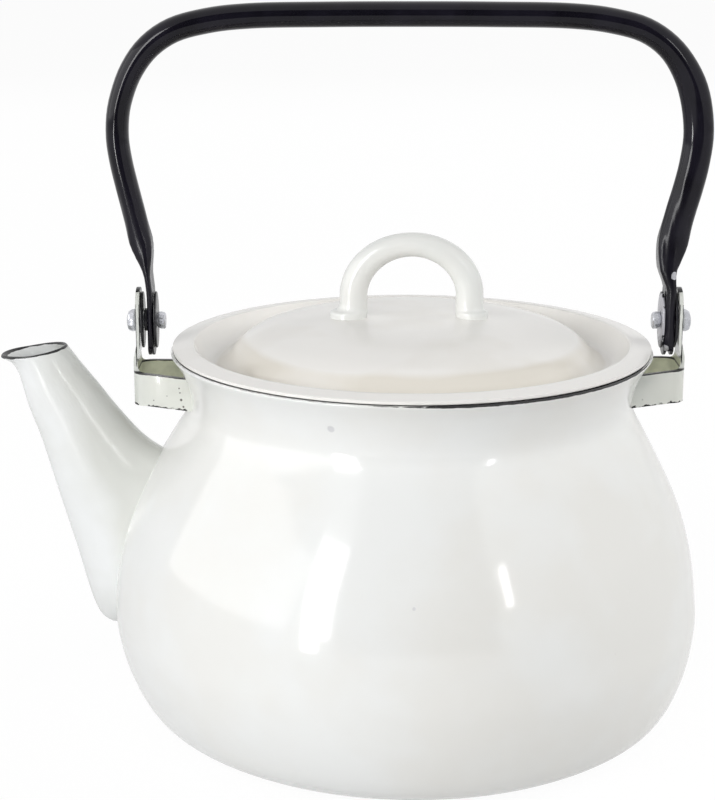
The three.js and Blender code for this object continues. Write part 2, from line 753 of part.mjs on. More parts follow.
function makeBail() {
  const path = new THREE.CatmullRomCurve3([
    ...bailSide(bailLeft),
    new THREE.Vector3(0, 0, pivotHeight + bailRise),
    ...bailSide(bailRight).toReversed(),
  ], false, 'centripetal');
  const outer = [];
  const bore = [];
  for (let s = 0; s <= bailStations; s += 1) {
    const share = s / bailStations;
    const centre = path.getPointAt(share);
    const along = path.getTangentAt(share);
    const inPlane = new THREE.Vector3(-along.z, 0, along.x);
    const rise = (centre.z - pivotHeight) / bailRise;
    const side = centre.x < 0 ? bailLeft : bailRight;
    const { halfThickness, halfDepth, squareness } = bailSection(side, rise);
    outer.push(ovalRing(centre, inPlane, halfThickness, halfDepth, bailFacets, squareness));
    bore.push(ovalRing(
      centre, inPlane, halfThickness - tubeWall, halfDepth - tubeWall, bailFacets, squareness,
    ));
  }
  const tube = toSolid(skin([...outer, ...bore.toReversed()], true));
  const hole = drill(rivetShankDiameter / 2 + rivetHoleClearance, 2 * earReach + overrun);
  return tube.subtract(hole.translate(0, 0, pivotHeight)).subtract(bladeTipCutter());
}

// Everything below the blades' round ends.
function bladeTipCutter() {
  const radius = bladeDepth / 2;
  const centreZ = pivotHeight - bladeDrop + radius;
  const wide = bladeDepth;
  const low = centreZ - radius - 2 * overrun;
  const shape = new THREE.Shape();
  shape.moveTo(-wide, low);
  shape.lineTo(wide, low);
  shape.lineTo(wide, centreZ);
  shape.absarc(0, centreZ, radius, 0, -Math.PI, true);
  shape.lineTo(-wide, centreZ);
  shape.closePath();
  const length = 2 * bracketReach;
  const place = new THREE.Matrix4().makeTranslation(-length / 2, 0, 0).multiply(facingOutward);
  return extrude(shape, length, place);
}

function material(color, roughness, metalness) {
  return new THREE.MeshStandardMaterial({ color, roughness, metalness });
}

function piece(name, solid, finish) {
  const mesh = new THREE.Mesh(toGeometry(solid), finish);
  mesh.name = name;
  return mesh;
}

const teapot = new THREE.Group();
teapot.add(piece('pot_body', makePot(), material(potWhite, 0.15, 0)));
teapot.add(piece('spout', makeSpout(), material(spoutWhite, 0.15, 0)));

const lid = new THREE.Group();
lid.position.z = lidSeat;
lid.add(piece('lid_shell', makeLidShell(), material(lidWhite, 0.18, 0)));
lid.add(piece('lid_loop', makeLidLoop(), material(loopWhite, 0.18, 0)));
teapot.add(lid);

const bailGear = new THREE.Group();
bailGear.position.x = bailOffset;
bailGear.add(piece('bail_handle', makeBail(), material(bailBlack, 0.2, 0)));
for (const [side, sign, strapBottom] of [
  ['left', -1, strapBottomLeft], ['right', 1, strapBottomRight],
]) {
  // Each side is built facing outward and turned to its own side of the pot.
  const outboard = new THREE.Group();
  outboard.rotation.z = sign > 0 ? 0 : Math.PI;
  const bracket = makeBracket(sign, strapBottom);
  outboard.add(piece(`bracket_${side}`, bracket, material(bracketWhite, 0.25, 0)));
  const pivot = new THREE.Group();
  pivot.position.z = pivotHeight;
  pivot.add(piece(`rivet_${side}`, makeRivet(), material(rivetSteel, 0.3, 0.9)));
  const outerLeaf = piece(`friction_leaf_outer_${side}`, makeLeaf(), material(leafBlack, 0.4, 0.3));
  outerLeaf.position.x = outerLeafPlace;
  const innerLeaf = piece(`friction_leaf_inner_${side}`, makeLeaf(), material(leafBlack, 0.4, 0.3));
  innerLeaf.position.x = innerLeafPlace;
  pivot.add(outerLeaf, innerLeaf);
  if (side === 'left') {
    const spacer = piece('spacer_washer_left', makeSpacer(), material(spacerBlack, 0.4, 0.3));
    spacer.position.x = spacerPlace;
    pivot.add(spacer);
  }
  outboard.add(pivot);
  bailGear.add(outboard);
}
teapot.add(bailGear);

export default teapot;
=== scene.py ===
"""A white enamelled teapot with a lift-off lid and a swinging black bail.

Lengths are in metres. The pot stands on z = 0 with its axis on x = 0, y = 0, the spout points
along -X, and the bail swings about an axis along X.
"""
import math

import bmesh
import bpy
from bpy.props import FloatProperty, FloatVectorProperty, IntProperty, PointerProperty
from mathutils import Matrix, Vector


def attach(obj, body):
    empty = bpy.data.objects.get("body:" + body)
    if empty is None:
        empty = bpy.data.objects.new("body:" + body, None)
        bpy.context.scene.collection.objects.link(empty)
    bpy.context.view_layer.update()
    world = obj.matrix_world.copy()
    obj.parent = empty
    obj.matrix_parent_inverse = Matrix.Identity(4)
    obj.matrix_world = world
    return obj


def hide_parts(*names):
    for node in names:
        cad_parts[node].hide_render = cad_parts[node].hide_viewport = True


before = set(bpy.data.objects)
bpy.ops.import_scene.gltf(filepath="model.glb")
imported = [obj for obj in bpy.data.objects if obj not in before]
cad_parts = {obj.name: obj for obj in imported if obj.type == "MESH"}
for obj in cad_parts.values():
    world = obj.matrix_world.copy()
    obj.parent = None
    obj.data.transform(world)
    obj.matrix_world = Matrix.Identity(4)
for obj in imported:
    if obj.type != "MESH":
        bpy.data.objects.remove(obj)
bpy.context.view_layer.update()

bl_info = {
    "name": "Enamel teapot",
    "version": (1, 0, 0),
    "blender": (4, 5, 0),
    "location": "View3D > Sidebar > Teapot",
    "description": "Models a white enamelled teapot with a swinging black bail round its frame",
    "category": "Add Mesh",
}

MM = 0.001
ORIGIN = (0.0, 0.0, 0.0)

POT_FACETS = 192
POT_RINGS = 110
SPOUT_FACETS = 72
SPOUT_RINGS = 64
BAIL_FACETS = 36
BAIL_RINGS = 170
LOOP_FACETS = 40
LOOP_RINGS = 48
LID_RINGS = 110
SMALL_FACETS = 32
LEAF_FACETS = 48
HOLE_FACETS = 24
RIVET_FACETS = 11
ARC_STEPS = 10
TIP_STEPS = 24

# Radii of the flat base, as shares of the whole one.
BASE_SHARES = (0, 0.5, 0.97)
# Lower belly from the flat base up to the widest ring, as shares of the belly's height and of the
# step from the base's radius to the widest one.
LOWER_BELLY_SHARES = (
    (0, 0), (0.021, 0.226), (0.071, 0.406), (0.176, 0.62), (0.294, 0.742), (0.43, 0.83),
    (0.588, 0.905), (0.765, 0.962), (1, 1),
)
# Shoulder from the widest ring up to the neck, as shares of that rise and of that step.
SHOULDER_SHARES = (
    (0.122, 0.981), (0.244, 0.94), (0.366, 0.865), (0.488, 0.753), (0.61, 0.596),
    (0.732, 0.408), (0.854, 0.21), (0.927, 0.085), (1, 0),
)
# Flare under the rim, as shares of its rise, which it steps out by to this power.
FLARE_SHARES = (0.35, 0.7, 1)
FLARE_POWER = 2
# Spout edges in the bail's plane, as shares of their reach and of their rise.
SPOUT_UNDER_SHARES = (
    (-0.36, -0.034), (0, 0), (0.045, 0.003), (0.131, 0.028), (0.197, 0.076), (0.355, 0.299),
    (0.549, 0.564), (0.64, 0.692), (0.763, 0.831), (0.838, 0.94), (0.895, 0.98), (1, 1),
)
SPOUT_OVER_SHARES = (
    (-0.3, -0.15), (0, 0), (0.138, 0.092), (0.279, 0.218), (0.463, 0.405), (0.644, 0.608),
    (0.828, 0.803), (1, 1),
)
# Lid: the sunken ring's wall out from its trough, and the dome from its centre to its foot.
LID_RING_SHARES = ((0.35, 0.14), (0.64, 0.45), (0.84, 0.8))
LID_DOME_SHARES = (
    (0, 1), (0.25, 0.992), (0.45, 0.968), (0.647, 0.89), (0.806, 0.735), (0.892, 0.57),
    (0.95, 0.365), (1, 0.13),
)
# Foot of the lid's loop: millimetres over the dome, and the share of the pad's full spread.
LOOP_FOOT_SHARES = (
    (-0.9, 1), (1.2, 1), (1.75, 0.95), (2.1, 0.8), (2.3, 0.55), (2.6, 0.35), (3.1, 0.2),
    (3.9, 0.08), (5.2, 0),
)
# Rivet heads, as shares of half their width and of their height.
RIVET_HEAD_SHARES = ((0, 1), (0.8, 1), (0.97, 0.85), (1, 0.4), (0.92, 0))
RIVET_DOME_SHARES = ((0.9, 0), (1, 0.22), (0.98, 0.5), (0.84, 0.82), (0.5, 0.97), (0, 1))
# Arms of the bail, as shares of its rise and of the step out from the blade to the swell.
ARM_SHARES_LEFT = (
    (0.09, 0), (0.125, 0.03), (0.206, 0.144), (0.286, 0.34), (0.366, 0.526), (0.445, 0.72),
    (0.524, 0.898), (0.6, 1), (0.68, 0.96),
)
ARM_SHARES_RIGHT = (
    (0.07, 0), (0.105, 0.03), (0.135, -0.04), (0.172, -0.13), (0.21, -0.07), (0.286, 0.13),
    (0.366, 0.38), (0.445, 0.66), (0.524, 0.88), (0.62, 1),
)
# The rest of each side up to the top bar, as shares of the rise and of the half width.
BAIL_TOP_SHARES = (
    (0.738, 0.982), (0.818, 0.948), (0.893, 0.89), (0.948, 0.806), (0.98, 0.682),
    (0.994, 0.548), (0.999, 0.28),
)

# How far rough shapes and cutters stand out past the lines at which they trim or are trimmed.
SPARE = 6 * MM
SLIT_SPARE = 4 * MM
CUTTER_SPARE = 30 * MM
# Lengths of the drill for the strainer, and of the tool for the bail's tips to each side.
STRAINER_DRILL = 40 * MM
TRIM_REACH = 110 * MM
# How deep a bracket's legs sit in the pot's wall, the rounding of sheet edges, and the height of
# the slit in a blade's end.
LEG_SINK = 0.3 * MM
LEAF_ROUND = 0.15 * MM
BLADE_ROUND = 0.25 * MM
SLIT_HEIGHT = 8 * MM
# A bracket's inside is seen from a point this far inside its face, and ends this far over the
# strap. Its faces look in, and stand upright, where these parts of their normals say so.
INSIDE_REACH = 15 * MM
INSIDE_TOP = 2 * MM
LOOKS_IN = -0.3
STANDS_UPRIGHT = 0.5
# The bail's ends are pressed from a tube this many times as wide as their flats. The swell runs
# out at this share of the rise past the start of the arm, and then the tube is left round.
PRESSED_SWELL = 1.9
SWELL_END_SHARE = 0.05
ROUND_SWELL = 1.001
# The loop thickens from its legs to its crown by this power of the sine.
LOOP_CROWN_POWER = 3
# How far the hammered heads of the rivets hang down, as a share of the way out along them.
RIVET_HANG_SHARE = 0.14
# Where the hammer's creases in the bail's arms are fully and just in sight, of its rise.
WORKED_SHARES = (0.26, 0.62)

# Chips in the enamel: the place, the radius of the bared patch and, on white, of its dark core.
POT_CHIPS = (
    ((-0.0293, -0.0798, 0.134), 0.0013, 0.0),
    ((-0.0015, -0.106, 0.0792), 0.0006, 0.0),
)
BAIL_CHIPS = (
    ((0.0974, -0.006, 0.1725), 0.0015),
    ((0.0952, -0.0055, 0.1452), 0.0013),
    ((0.0982, -0.0045, 0.1452), 0.0009),
)
LEAF_CHIP_RADIUS = 9.5 * MM
# Specks on the right bracket, whose mirror images are on the left one: x, y, z and radius.
BRACKET_SPECKS = (
    (0.0859, -0.0155, 0.1274, 0.0005), (0.0851, -0.0157, 0.1248, 0.0004),
    (0.0863, -0.0154, 0.1301, 0.0003), (0.0913, -0.0142, 0.1286, 0.0002),
    (0.0964, -0.013, 0.1266, 0.00025), (0.0866, -0.0153, 0.1318, 0.0003),
)
SPECK_CORE_SHARE = 0.9
CORE_SOFTNESS = 0.01 * MM
# Depth of a hollow in the white enamel, and of the hammer's creases in the bail.
ENAMEL_DEPTH = 0.06 * MM
CREASE_DEPTH = 1.1 * MM
# The range of soft noise over which one tone of an enamel gives way to the other.
CLOUD_RANGE = (0.3, 0.7)
# Softness of the edge of black paint, and the scale of the gaps in it, of that of its jags, and
# their softness in noise.
PAINT_SOFTNESS = 0.08 * MM
GAP_SCALE_SHARE = 0.45
GAP_SOFTNESS = 0.04
# How much darkness a pit shows and how much bare metal a chip, and what hollows, black paint,
# bare metal and hammered skin add to the roughness.
PIT_DARKNESS = 0.75
CHIP_BARENESS = 0.55
HOLLOW_ROUGHNESS = 0.4
PAINT_ROUGHNESS = 0.18
METAL_ROUGHNESS = 0.25
HAMMERED_ROUGHNESS = 0.14
# The black on the rim is widest where this turn, in radians, cancels the one round the pot, and
# it is worn off most at this distance to the left of the axis.
RIM_BLACK_TURN = 1.0
RIM_BREAK = 1 * MM

# Lamps: the name, the angles from the front and from level in degrees, the distance, width,
# height and radiance, and whether the enamel mirrors the lamp or is lit by it.
LAMPS = (
    ("window_left", -34, 18.5, 2.2, 0.42, 1.35, 12.0, 'MIRRORED'),
    ("window_right", 39, 19, 2.4, 0.13, 0.65, 12.0, 'MIRRORED'),
    ("glint_left", -35, -1, 1.2, 0.12, 0.13, 30.0, 'MIRRORED'),
    ("wall_left", -76, 19, 2.5, 3.0, 1.5, 1.45, 'MIRRORED'),
    ("key_left", -55, 18, 2.5, 1.8, 1.4, 3.8, 'LIT'),
    ("fill_front", -6, 25, 2.5, 1.6, 1.4, 3.4, 'LIT'),
    ("fill_right", 98, 22, 2.5, 2.0, 1.6, 3.6, 'LIT'),
    ("fill_back", 180, 30, 2.5, 2.0, 1.6, 1.1, 'LIT'),
)
# The point that the lamps face, and the width of the camera's film in millimetres.
LAMPS_FACE = Vector((0, 0, 0.09))
FILM_WIDTH = 36
# The floor's two greys, and its glow: its strength, its share of what the camera sees, and the
# share of that which is left in reflections.
FLOOR_GREYS = (0.66, 0.68)
GLOW_STRENGTH = 1.05
GLOW_SHARE = 0.9
MIRRORED_GLOW_SHARE = 0.75


def length(description, millimetres):
    """A length for the panel, in metres, from its size in millimetres."""
    return FloatProperty(
        description=description, default=millimetres * MM, unit='LENGTH', subtype='DISTANCE',
        precision=5)


def share(description, value):
    """A share between 0 and 1 for the panel."""
    return FloatProperty(description=description, default=value, min=0, max=1, subtype='FACTOR')


def colour(description, red, green, blue):
    """A colour for the panel."""
    return FloatVectorProperty(
        description=description, default=(red, green, blue), size=3, min=0, max=1,
        subtype='COLOR')


class PotSizes(bpy.types.PropertyGroup):
    """Sizes of the deep-drawn pot."""

    wall: length("Thickness of the sheet", 1.2)
    belly_radius: length("Radius at the widest ring", 111.9)
    base_radius: length("Radius of the flat base", 79.5)
    belly_height: length("Height of the widest ring", 42.5)
    belly_lean: length("How far the belly leans towards the spout", 2.1)
    neck_radius: length("Radius where the flare begins", 83.3)
    rim_radius: length("Radius of the rim", 90.6)
    rim_height: length("Height of the rim", 144)
    flare_height: length("Height of the flare under the rim", 19.5)
    rim_round: length("How far the rim's two edges are rounded", 0.4)
    hole_diameter: length("Width of a strainer hole behind the spout", 7)
    hole_ring: length("Radius of the ring of strainer holes", 14)
    strainer_height: length("Height of the strainer's middle", 72)
    holes: IntProperty(description="Strainer holes in the ring", default=6)


class SpoutSizes(bpy.types.PropertyGroup):
    """Sizes of the welded spout."""

    wall: length("Thickness of the sheet", 1.2)
    foot_reach: length("Distance of the foot from the axis", 114.5)
    foot_height: length("Height of the foot", 34.6)
    tip_reach: length("Distance of the pouring tip from the axis", 155.1)
    tip_height: length("Height of the pouring tip", 140.6)
    crotch_reach: length("Where the upper edge leaves the pot", 97.8)
    crotch_height: length("Height where the upper edge leaves the pot", 106.2)
    back_reach: length("Distance of the mouth's back from the axis", 130.4)
    back_height: length("Height of the mouth's back", 145.2)
    foot_half_width: length("Half the width of the foot", 21)
    mouth_half_width: length("Half the width of the mouth", 10.5)
    weld_sink: length("How deep the foot sits in the pot's wall", 0.4)
    lip_round: length("How far the mouth's edges are rounded", 0.35)


class LidSizes(bpy.types.PropertyGroup):
    """Sizes of the pressed lid and its loop."""

    sheet: length("Thickness of the sheet", 1.2)
    edge_radius: length("Radius of the flange's edge", 89.75)
    flange_width: length("Width of the flange", 7.15)
    crest_rise: length("Height of the crest over the flange's edge", 1.1)
    ring_width: length("Width of the sunken ring's wall", 8.1)
    trough_depth: length("Depth of the sunken ring", 8)
    trough_width: length("Width of the ring's floor", 5)
    dome_rise: length("Height of the dome over the ring's floor", 16.9)
    seat: length("Height of the flange's underside", 144.85)
    edge_round: length("How far the flange's edge is rounded", 0.45)
    loop_half_width: length("Half the loop's width, outside", 27)
    loop_top: length("Height of the loop over the seat", 42.9)
    loop_spring: length("Height where the loop's legs begin to bend", 19)
    loop_crown: length("Thickness of the loop at its crown", 9)
    loop_leg: length("Thickness of the loop's legs", 10.4)
    loop_depth: length("Depth of the loop's bar", 9.2)
    pad_half_depth: length("Half the depth of a foot pad", 6.2)
    pad_reach_left: length("How far the left pad reaches out", 3.6)
    pad_reach_right: length("How far the right pad reaches out", 1.8)


class BracketSizes(bpy.types.PropertyGroup):
    """Sizes of the two brackets and the pivots in their ears."""

    sheet: length("Thickness of the strap", 1.4)
    reach: length("Distance of the strap's face from the bail's middle", 103.2)
    bottom_left: length("Height of the left strap's lower edge", 124.2)
    bottom_right: length("Height of the right strap's lower edge", 125.3)
    strap_height: length("Height of the strap", 12.4)
    half_span: length("Half the width of the strap's face", 12.2)
    corner: length("Radius of the strap's corners", 5.5)
    splay: FloatProperty(description="How far the legs spread", default=0.24, subtype='ANGLE')
    leg_drop: length("How far the legs fall towards the pot", 1.7)
    leg_length: length("Length of the legs before they are trimmed", 26)
    ear_half_width: length("Half the width of the ear", 7)
    ear_top: length("Height of the ear's top", 167.1)
    ear_fillet: length("Radius of the fillets at the ear's foot", 4.4)
    ear_set_in: length("How far the ear stands inside the strap's face", 1.15)
    ear_jog: length("Height over which the ear steps in", 5)
    edge_round: length("How far the sheet's edges are rounded", 0.25)
    offset: length("Place of the bail's middle along X", -1)
    pivot_height: length("Height of the pivots", 154.7)
    shank: length("Width of the rivet's shank", 4.4)
    dome_width: length("Width of the outer rivet head", 8.6)
    dome_height: length("Height of the outer rivet head", 3.6)
    inner_width: length("Width of the inner rivet head", 6.6)
    inner_height: length("Height of the inner rivet head", 2.8)
    leaf: length("Thickness of a friction leaf", 0.8)
    leaf_half_width: length("Half the width of a friction leaf", 7)
    leaf_half_height: length("Half the height of a friction leaf", 10.7)
    spacer: length("Thickness of the spacer washer", 1.1)
    spacer_width: length("Width of the spacer washer", 8.6)
    clearance: length("Gap between the pieces of a pivot", 0.3)
    stack: length("Depth of the pivot's stack inside the ear", 6.1)


class BailSizes(bpy.types.PropertyGroup):
    """Sizes of the bail."""

    wall: length("Thickness of the tube's wall", 0.9)
    rise: length("Height of the top bar over the pivots", 112.8)
    bar_thickness: length("Height of the top bar's section", 9.2)
    bar_depth: length("Depth of the top bar's section", 10.5)
    left_half_width: length("Distance of the left arm's swell", 107.45)
    right_half_width: length("Distance of the right arm's swell", 105.95)
    left_thickness: length("Thickness of the left arm", 8.5)
    left_depth: length("Depth of the left arm", 11)
    right_thickness: length("Thickness of the right arm", 11.2)
    right_depth: length("Depth of the right arm", 8.6)
    blade_inner: length("Distance of the blades' inner faces", 95.65)
    blade_outer_left: length("Distance of the left blade's outer face", 97.85)
    blade_outer_right: length("Distance of the right blade's outer face", 99.25)
    blade_depth: length("Width of the flat blades", 13.4)
    blade_drop: length("How far the blades reach below the pivots", 13.4)
    blade_end_left: share("Where the left blade ends, of the rise", 0.14)
    blade_end_right: share("Where the right blade ends, of the rise", 0.1)
    arm_start: share("Where the full arms begin, of the rise", 0.28)
    arm_end: share("Where the arms run out, of the rise", 0.72)
    bar_start: share("Where the top bar begins, of the rise", 0.95)


class Finishes(bpy.types.PropertyGroup):
    """Colours of the enamels and metals."""

    pot_white: colour("Cool white enamel of the pot", 0.83, 0.84, 0.83)
    # A second tone in the enamel's clouds, and painted shade on the pot's right side.
    pot_tone_and_painted_shade: colour("Warmer tone of the same enamel", 0.8, 0.795, 0.765)
    lid_white: colour("Warm white enamel of the lid", 0.885, 0.87, 0.84)
    # Painted shade in the lid's sunken ring, and a second tone in the lid's clouds.
    lid_tone_and_painted_shade: colour("Deeper tone in the lid's ring", 0.76, 0.725, 0.655)
    loop_white: colour("Cool white enamel of the lid's loop", 0.78, 0.8, 0.78)
    spout_white: colour("White enamel of the spout", 0.82, 0.835, 0.835)
    # Painted shade: this tone is drawn on the spout's flank towards the pot.
    spout_painted_shade: colour("Its tone towards the pot", 0.71, 0.72, 0.685)
    bracket_white: colour("Greyer white of the brackets", 0.62, 0.64, 0.61)
    bracket_shade: colour("Deeper tone of the same enamel", 0.7, 0.71, 0.655)
    bracket_inside: colour("Olive ground coat in the brackets", 0.54, 0.555, 0.42)
    edge_black: colour("Black enamel on rims and edges", 0.012, 0.012, 0.013)
    bail_black: colour("Black enamel of the bail", 0.005, 0.0045, 0.0075)
    leaf_black: colour("Black enamel of the friction leaves", 0.012, 0.012, 0.014)
    bare_steel: colour("Steel where the enamel has chipped", 0.5, 0.5, 0.53)
    rivet_steel: colour("Bright steel of the rivets", 0.62, 0.63, 0.67)
    chip_rust: colour("Dark iron in a chip", 0.07, 0.055, 0.045)


class StageSizes(bpy.types.PropertyGroup):
    """Camera, floor and room light."""

    camera_x: length("Camera's place along X", -20.3)
    camera_y: length("Camera's place along Y", -699.6)
    camera_z: length("Camera's height", 305.6)
    pitch: FloatProperty(
        description="Camera's tilt below level", default=math.radians(14.6), subtype='ANGLE')
    lens: FloatProperty(description="Focal length in millimetres", default=85.5)
    floor: length("Width of the floor", 12000)
    world_light: FloatProperty(description="Strength of the light all round", default=0.245)


# Shapes drawn with Blender's own tools

def clear_selection():
    """Leaves nothing selected, in object mode."""
    if bpy.context.mode != 'OBJECT':
        bpy.ops.object.mode_set(mode='OBJECT')
    bpy.ops.object.select_all(action='DESELECT')


def pick(piece):
    """Makes piece the only selected object."""
    clear_selection()
    piece.select_set(True)
    bpy.context.view_layer.objects.active = piece


def mix(start, end, part):
    """The value at a part of the way from start to end."""
    return start + (end - start) * part


def smooth_step(value, low, high):
    """0 below low, 1 above high, and an easy change between them."""
    part = min(max((value - low) / (high - low), 0), 1)
    return part * part * (3 - 2 * part)


def curve_point(points, place, even):
    """The point at a place from 0 to 1 along a smooth curve through points."""
    last = len(points) - 1
    span = min(int(place * last), last - 1)
    part = place * last - span
    here, there = points[span], points[span + 1]
    if even:
        leave = (there - points[max(span - 1, 0)]) / 2
        arrive = (points[min(span + 2, last)] - here) / 2
    else:
        before = points[span - 1] if span else 2 * here - there
        after = points[span + 2] if span + 2 <= last else 2 * there - here
        first = math.sqrt((here - before).length)
        middle = math.sqrt((there - here).length)
        final = math.sqrt((after - there).length)
        leave = ((here - before) / first - (there - before) / (first + middle)) * middle
        leave += there - here
        arrive = ((after - there) / final - (after - here) / (middle + final)) * middle
        arrive += there - here
    square, cube = part * part, part ** 3
    return (here * (2 * cube - 3 * square + 1) + there * (3 * square - 2 * cube)
            + leave * (cube - 2 * square + part) + arrive * (cube - square))


def spaced_points(points, count, even):
    """count + 1 points at equal steps along a smooth curve through points."""
    fine = 30 * count
    walk = [0.0]
    before = curve_point(points, 0, even)
    for step in range(1, fine + 1):
        here = curve_point(points, step / fine, even)
        walk.append(walk[-1] + (here - before).length)
        before = here
    spaced = []
    step = 0
    for place in range(count + 1):
        goal = walk[-1] * place / count
        while step < fine - 1 and walk[step + 1] < goal:
            step += 1
        part = (goal - walk[step]) / (walk[step + 1] - walk[step])
        spaced.append(curve_point(points, (step + part) / fine, even))
    return spaced


def arc(centre_x, centre_y, radius, start, end, steps=ARC_STEPS):
    """Points of an arc, with its angles in radians."""
    return [
        (centre_x + radius * math.cos(mix(start, end, step / steps)),
         centre_y + radius * math.sin(mix(start, end, step / steps)))
        for step in range(steps + 1)
    ]


def start_piece(name):
    """Names the object that was just added, and goes into edit mode on it."""
    piece = bpy.context.object
    piece.name = name
    piece.data.name = name
    bpy.ops.object.mode_set(mode='EDIT')
    bpy.ops.mesh.select_mode(type='VERT')
    return piece


def turn_out(piece, open_ends):
    """Turns all faces outwards and leaves edit mode. Open ends are capped meanwhile."""
    bpy.ops.mesh.select_all(action='SELECT')
    if open_ends:
        bpy.ops.mesh.fill_holes(sides=0)
        bpy.ops.mesh.select_all(action='SELECT')
    bpy.ops.mesh.normals_make_consistent(inside=False)
    if open_ends:
        bpy.ops.mesh.select_mode(type='FACE')
        bpy.ops.mesh.select_face_by_sides(number=4, type='GREATER', extend=False)
        bpy.ops.mesh.delete(type='ONLY_FACE')
    bpy.ops.object.mode_set(mode='OBJECT')
    return piece


def turned(name, profile, facets, shift=lambda height: 0.0):
    """A skin turned round +Z: each ring is drawn out of the one before it and sized.

    A profile that starts or ends on the axis is closed there. shift moves a ring along X.
    """
    clear_selection()
    on_axis = 1e-6
    rings = [point for point in profile if point[0] > on_axis]
    radius, height = rings[0]
    bpy.ops.mesh.primitive_circle_add(vertices=facets, radius=radius)
    piece = start_piece(name)
    bpy.ops.transform.translate(value=(shift(height), 0, height))
    for next_radius, next_height in rings[1:]:
        slide = shift(next_height) - shift(height)
        bpy.ops.mesh.extrude_edges_move(
            TRANSFORM_OT_translate={"value": (slide, 0, next_height - height)})
        grow = next_radius / radius
        bpy.ops.transform.resize(
            value=(grow, grow, 1), center_override=(shift(next_height), 0, next_height))
        radius, height = next_radius, next_height
    if profile[-1][0] <= on_axis:
        close_ring(profile[-1][1] - height)
    if profile[0][0] <= on_axis:
        select_rings(piece, facets, 0)
        close_ring(profile[0][1] - rings[0][1])
    return turn_out(piece, True)


def close_ring(rise):
    """Closes the selected ring to a point on the axis."""
    bpy.ops.mesh.extrude_edges_move(TRANSFORM_OT_translate={"value": (0, 0, rise)})
    bpy.ops.mesh.merge(type='CENTER')


def select_rings(piece, facets, *rings):
    """Selects whole rings by their number, in the order in which they were drawn."""
    mesh = bmesh.from_edit_mesh(piece.data)
    mesh.verts.ensure_lookup_table()
    wanted = {index for ring in rings for index in range(ring * facets, (ring + 1) * facets)}
    for face in mesh.faces:
        face.select = False
    for edge in mesh.edges:
        first, second = (vert.index for vert in edge.verts)
        edge.select = (first in wanted and second in wanted
                       and first // facets == second // facets)
    bmesh.update_edit_mesh(piece.data)


def press_flat(piece, facets, ring, limit):
    """Presses a ring flat beyond limit on both its sides, as a hammered tube is."""
    for side in (-1, 1):
        mesh = bmesh.from_edit_mesh(piece.data)
        mesh.verts.ensure_lookup_table()
        for vert in mesh.verts[ring * facets:(ring + 1) * facets]:
            vert.select = side * vert.co.x > limit
        mesh.select_flush_mode()
        bmesh.update_edit_mesh(piece.data)
        bpy.ops.transform.resize(value=(0, 1, 1), center_override=(side * limit, 0, 0))
    select_rings(piece, facets, ring)


def swept(name, sections, facets, open_ends=True):
    """A skin over a run of oval rings that stand square to a path in the bail's plane.

    A section is its middle, its tilt, its half size in the plane, its half depth, and the limit
    beyond which it is pressed flat, or None.
    """
    clear_selection()
    piece = None
    for ring, (middle, tilt, half_run, half_depth, limit) in enumerate(sections):
        bpy.ops.mesh.primitive_circle_add(vertices=facets, radius=1)
        if piece is None:
            piece = start_piece(name)
        bpy.ops.transform.resize(value=(half_run, half_depth, 1), center_override=ORIGIN)
        if limit is not None and limit < half_run:
            press_flat(piece, facets, ring, limit)
        bpy.ops.transform.rotate(value=tilt, orient_axis='Y', center_override=ORIGIN)
        bpy.ops.transform.translate(value=middle)
        if ring:
            select_rings(piece, facets, ring - 1, ring)
            bpy.ops.mesh.bridge_edge_loops(use_merge=False)
    if not open_ends:
        bpy.ops.mesh.select_all(action='SELECT')
        bpy.ops.mesh.fill_holes(sides=0)
    return turn_out(piece, open_ends)


def plate(name, corners, step):
    """A solid plate: its outline is drawn corner by corner, filled, and drawn out by step."""
    clear_selection()
    bpy.ops.mesh.primitive_plane_add(size=MM)
    piece = start_piece(name)
    bpy.ops.mesh.merge(type='CENTER')
    bpy.ops.transform.translate(value=corners[0])
    for before, here in zip(corners, corners[1:]):
        move = tuple(b - a for a, b in zip(before, here))
        bpy.ops.mesh.extrude_region_move(TRANSFORM_OT_translate={"value": move})
    bpy.ops.mesh.select_all(action='SELECT')
    bpy.ops.mesh.edge_face_add()
    bpy.ops.mesh.extrude_region_move(TRANSFORM_OT_translate={"value": step})
    return turn_out(piece, False)


def peg(name, middle, radius, reach, facets=SMALL_FACETS):
    """A round peg along X, used to pierce sheets."""
    clear_selection()
    bpy.ops.mesh.primitive_cylinder_add(vertices=facets, radius=radius, depth=reach)
    piece = start_piece(name)
    bpy.ops.transform.rotate(value=math.pi / 2, orient_axis='Y', center_override=ORIGIN)
    bpy.ops.transform.translate(value=middle)
    return turn_out(piece, False)


def move_piece(piece, value, turn, axis='Z'):
    """Turns a mesh about the origin and moves it, leaving its object at the origin."""
    pick(piece)
    bpy.ops.object.mode_set(mode='EDIT')
    bpy.ops.mesh.select_all(action='SELECT')
    if turn:
        bpy.ops.transform.rotate(value=turn, orient_axis=axis, center_override=ORIGIN)
    bpy.ops.transform.translate(value=value)
    bpy.ops.object.mode_set(mode='OBJECT')


def apply_modifier(piece, kind, **settings):
    """Adds a modifier to piece with its settings, and applies it."""
    pick(piece)
    modifier = piece.modifiers.new(kind.title(), kind)
    for key, value in settings.items():
        setattr(modifier, key, value)
    bpy.ops.object.modifier_apply(modifier=modifier.name)


def work(piece, tool, operation='DIFFERENCE'):
    """Cuts, joins or trims piece with a tool, which is then thrown away."""
    apply_modifier(piece, 'BOOLEAN', object=tool, operation=operation, solver='EXACT')
    bpy.data.objects.remove(tool)


def pierce(piece, middle, reach):
    """Drills the rivet's hole along X."""
    sizes = bpy.context.scene.teapot_brackets
    work(piece, peg("rivet_drill", middle, sizes.shank / 2 + sizes.clearance, reach))


def round_edges(piece, width, segments=3, angle=40):
    """Rounds the sharp edges of a piece."""
    apply_modifier(
        piece, 'BEVEL', width=width, segments=segments, limit_method='ANGLE',
        angle_limit=math.radians(angle), harden_normals=False, use_clamp_overlap=True)


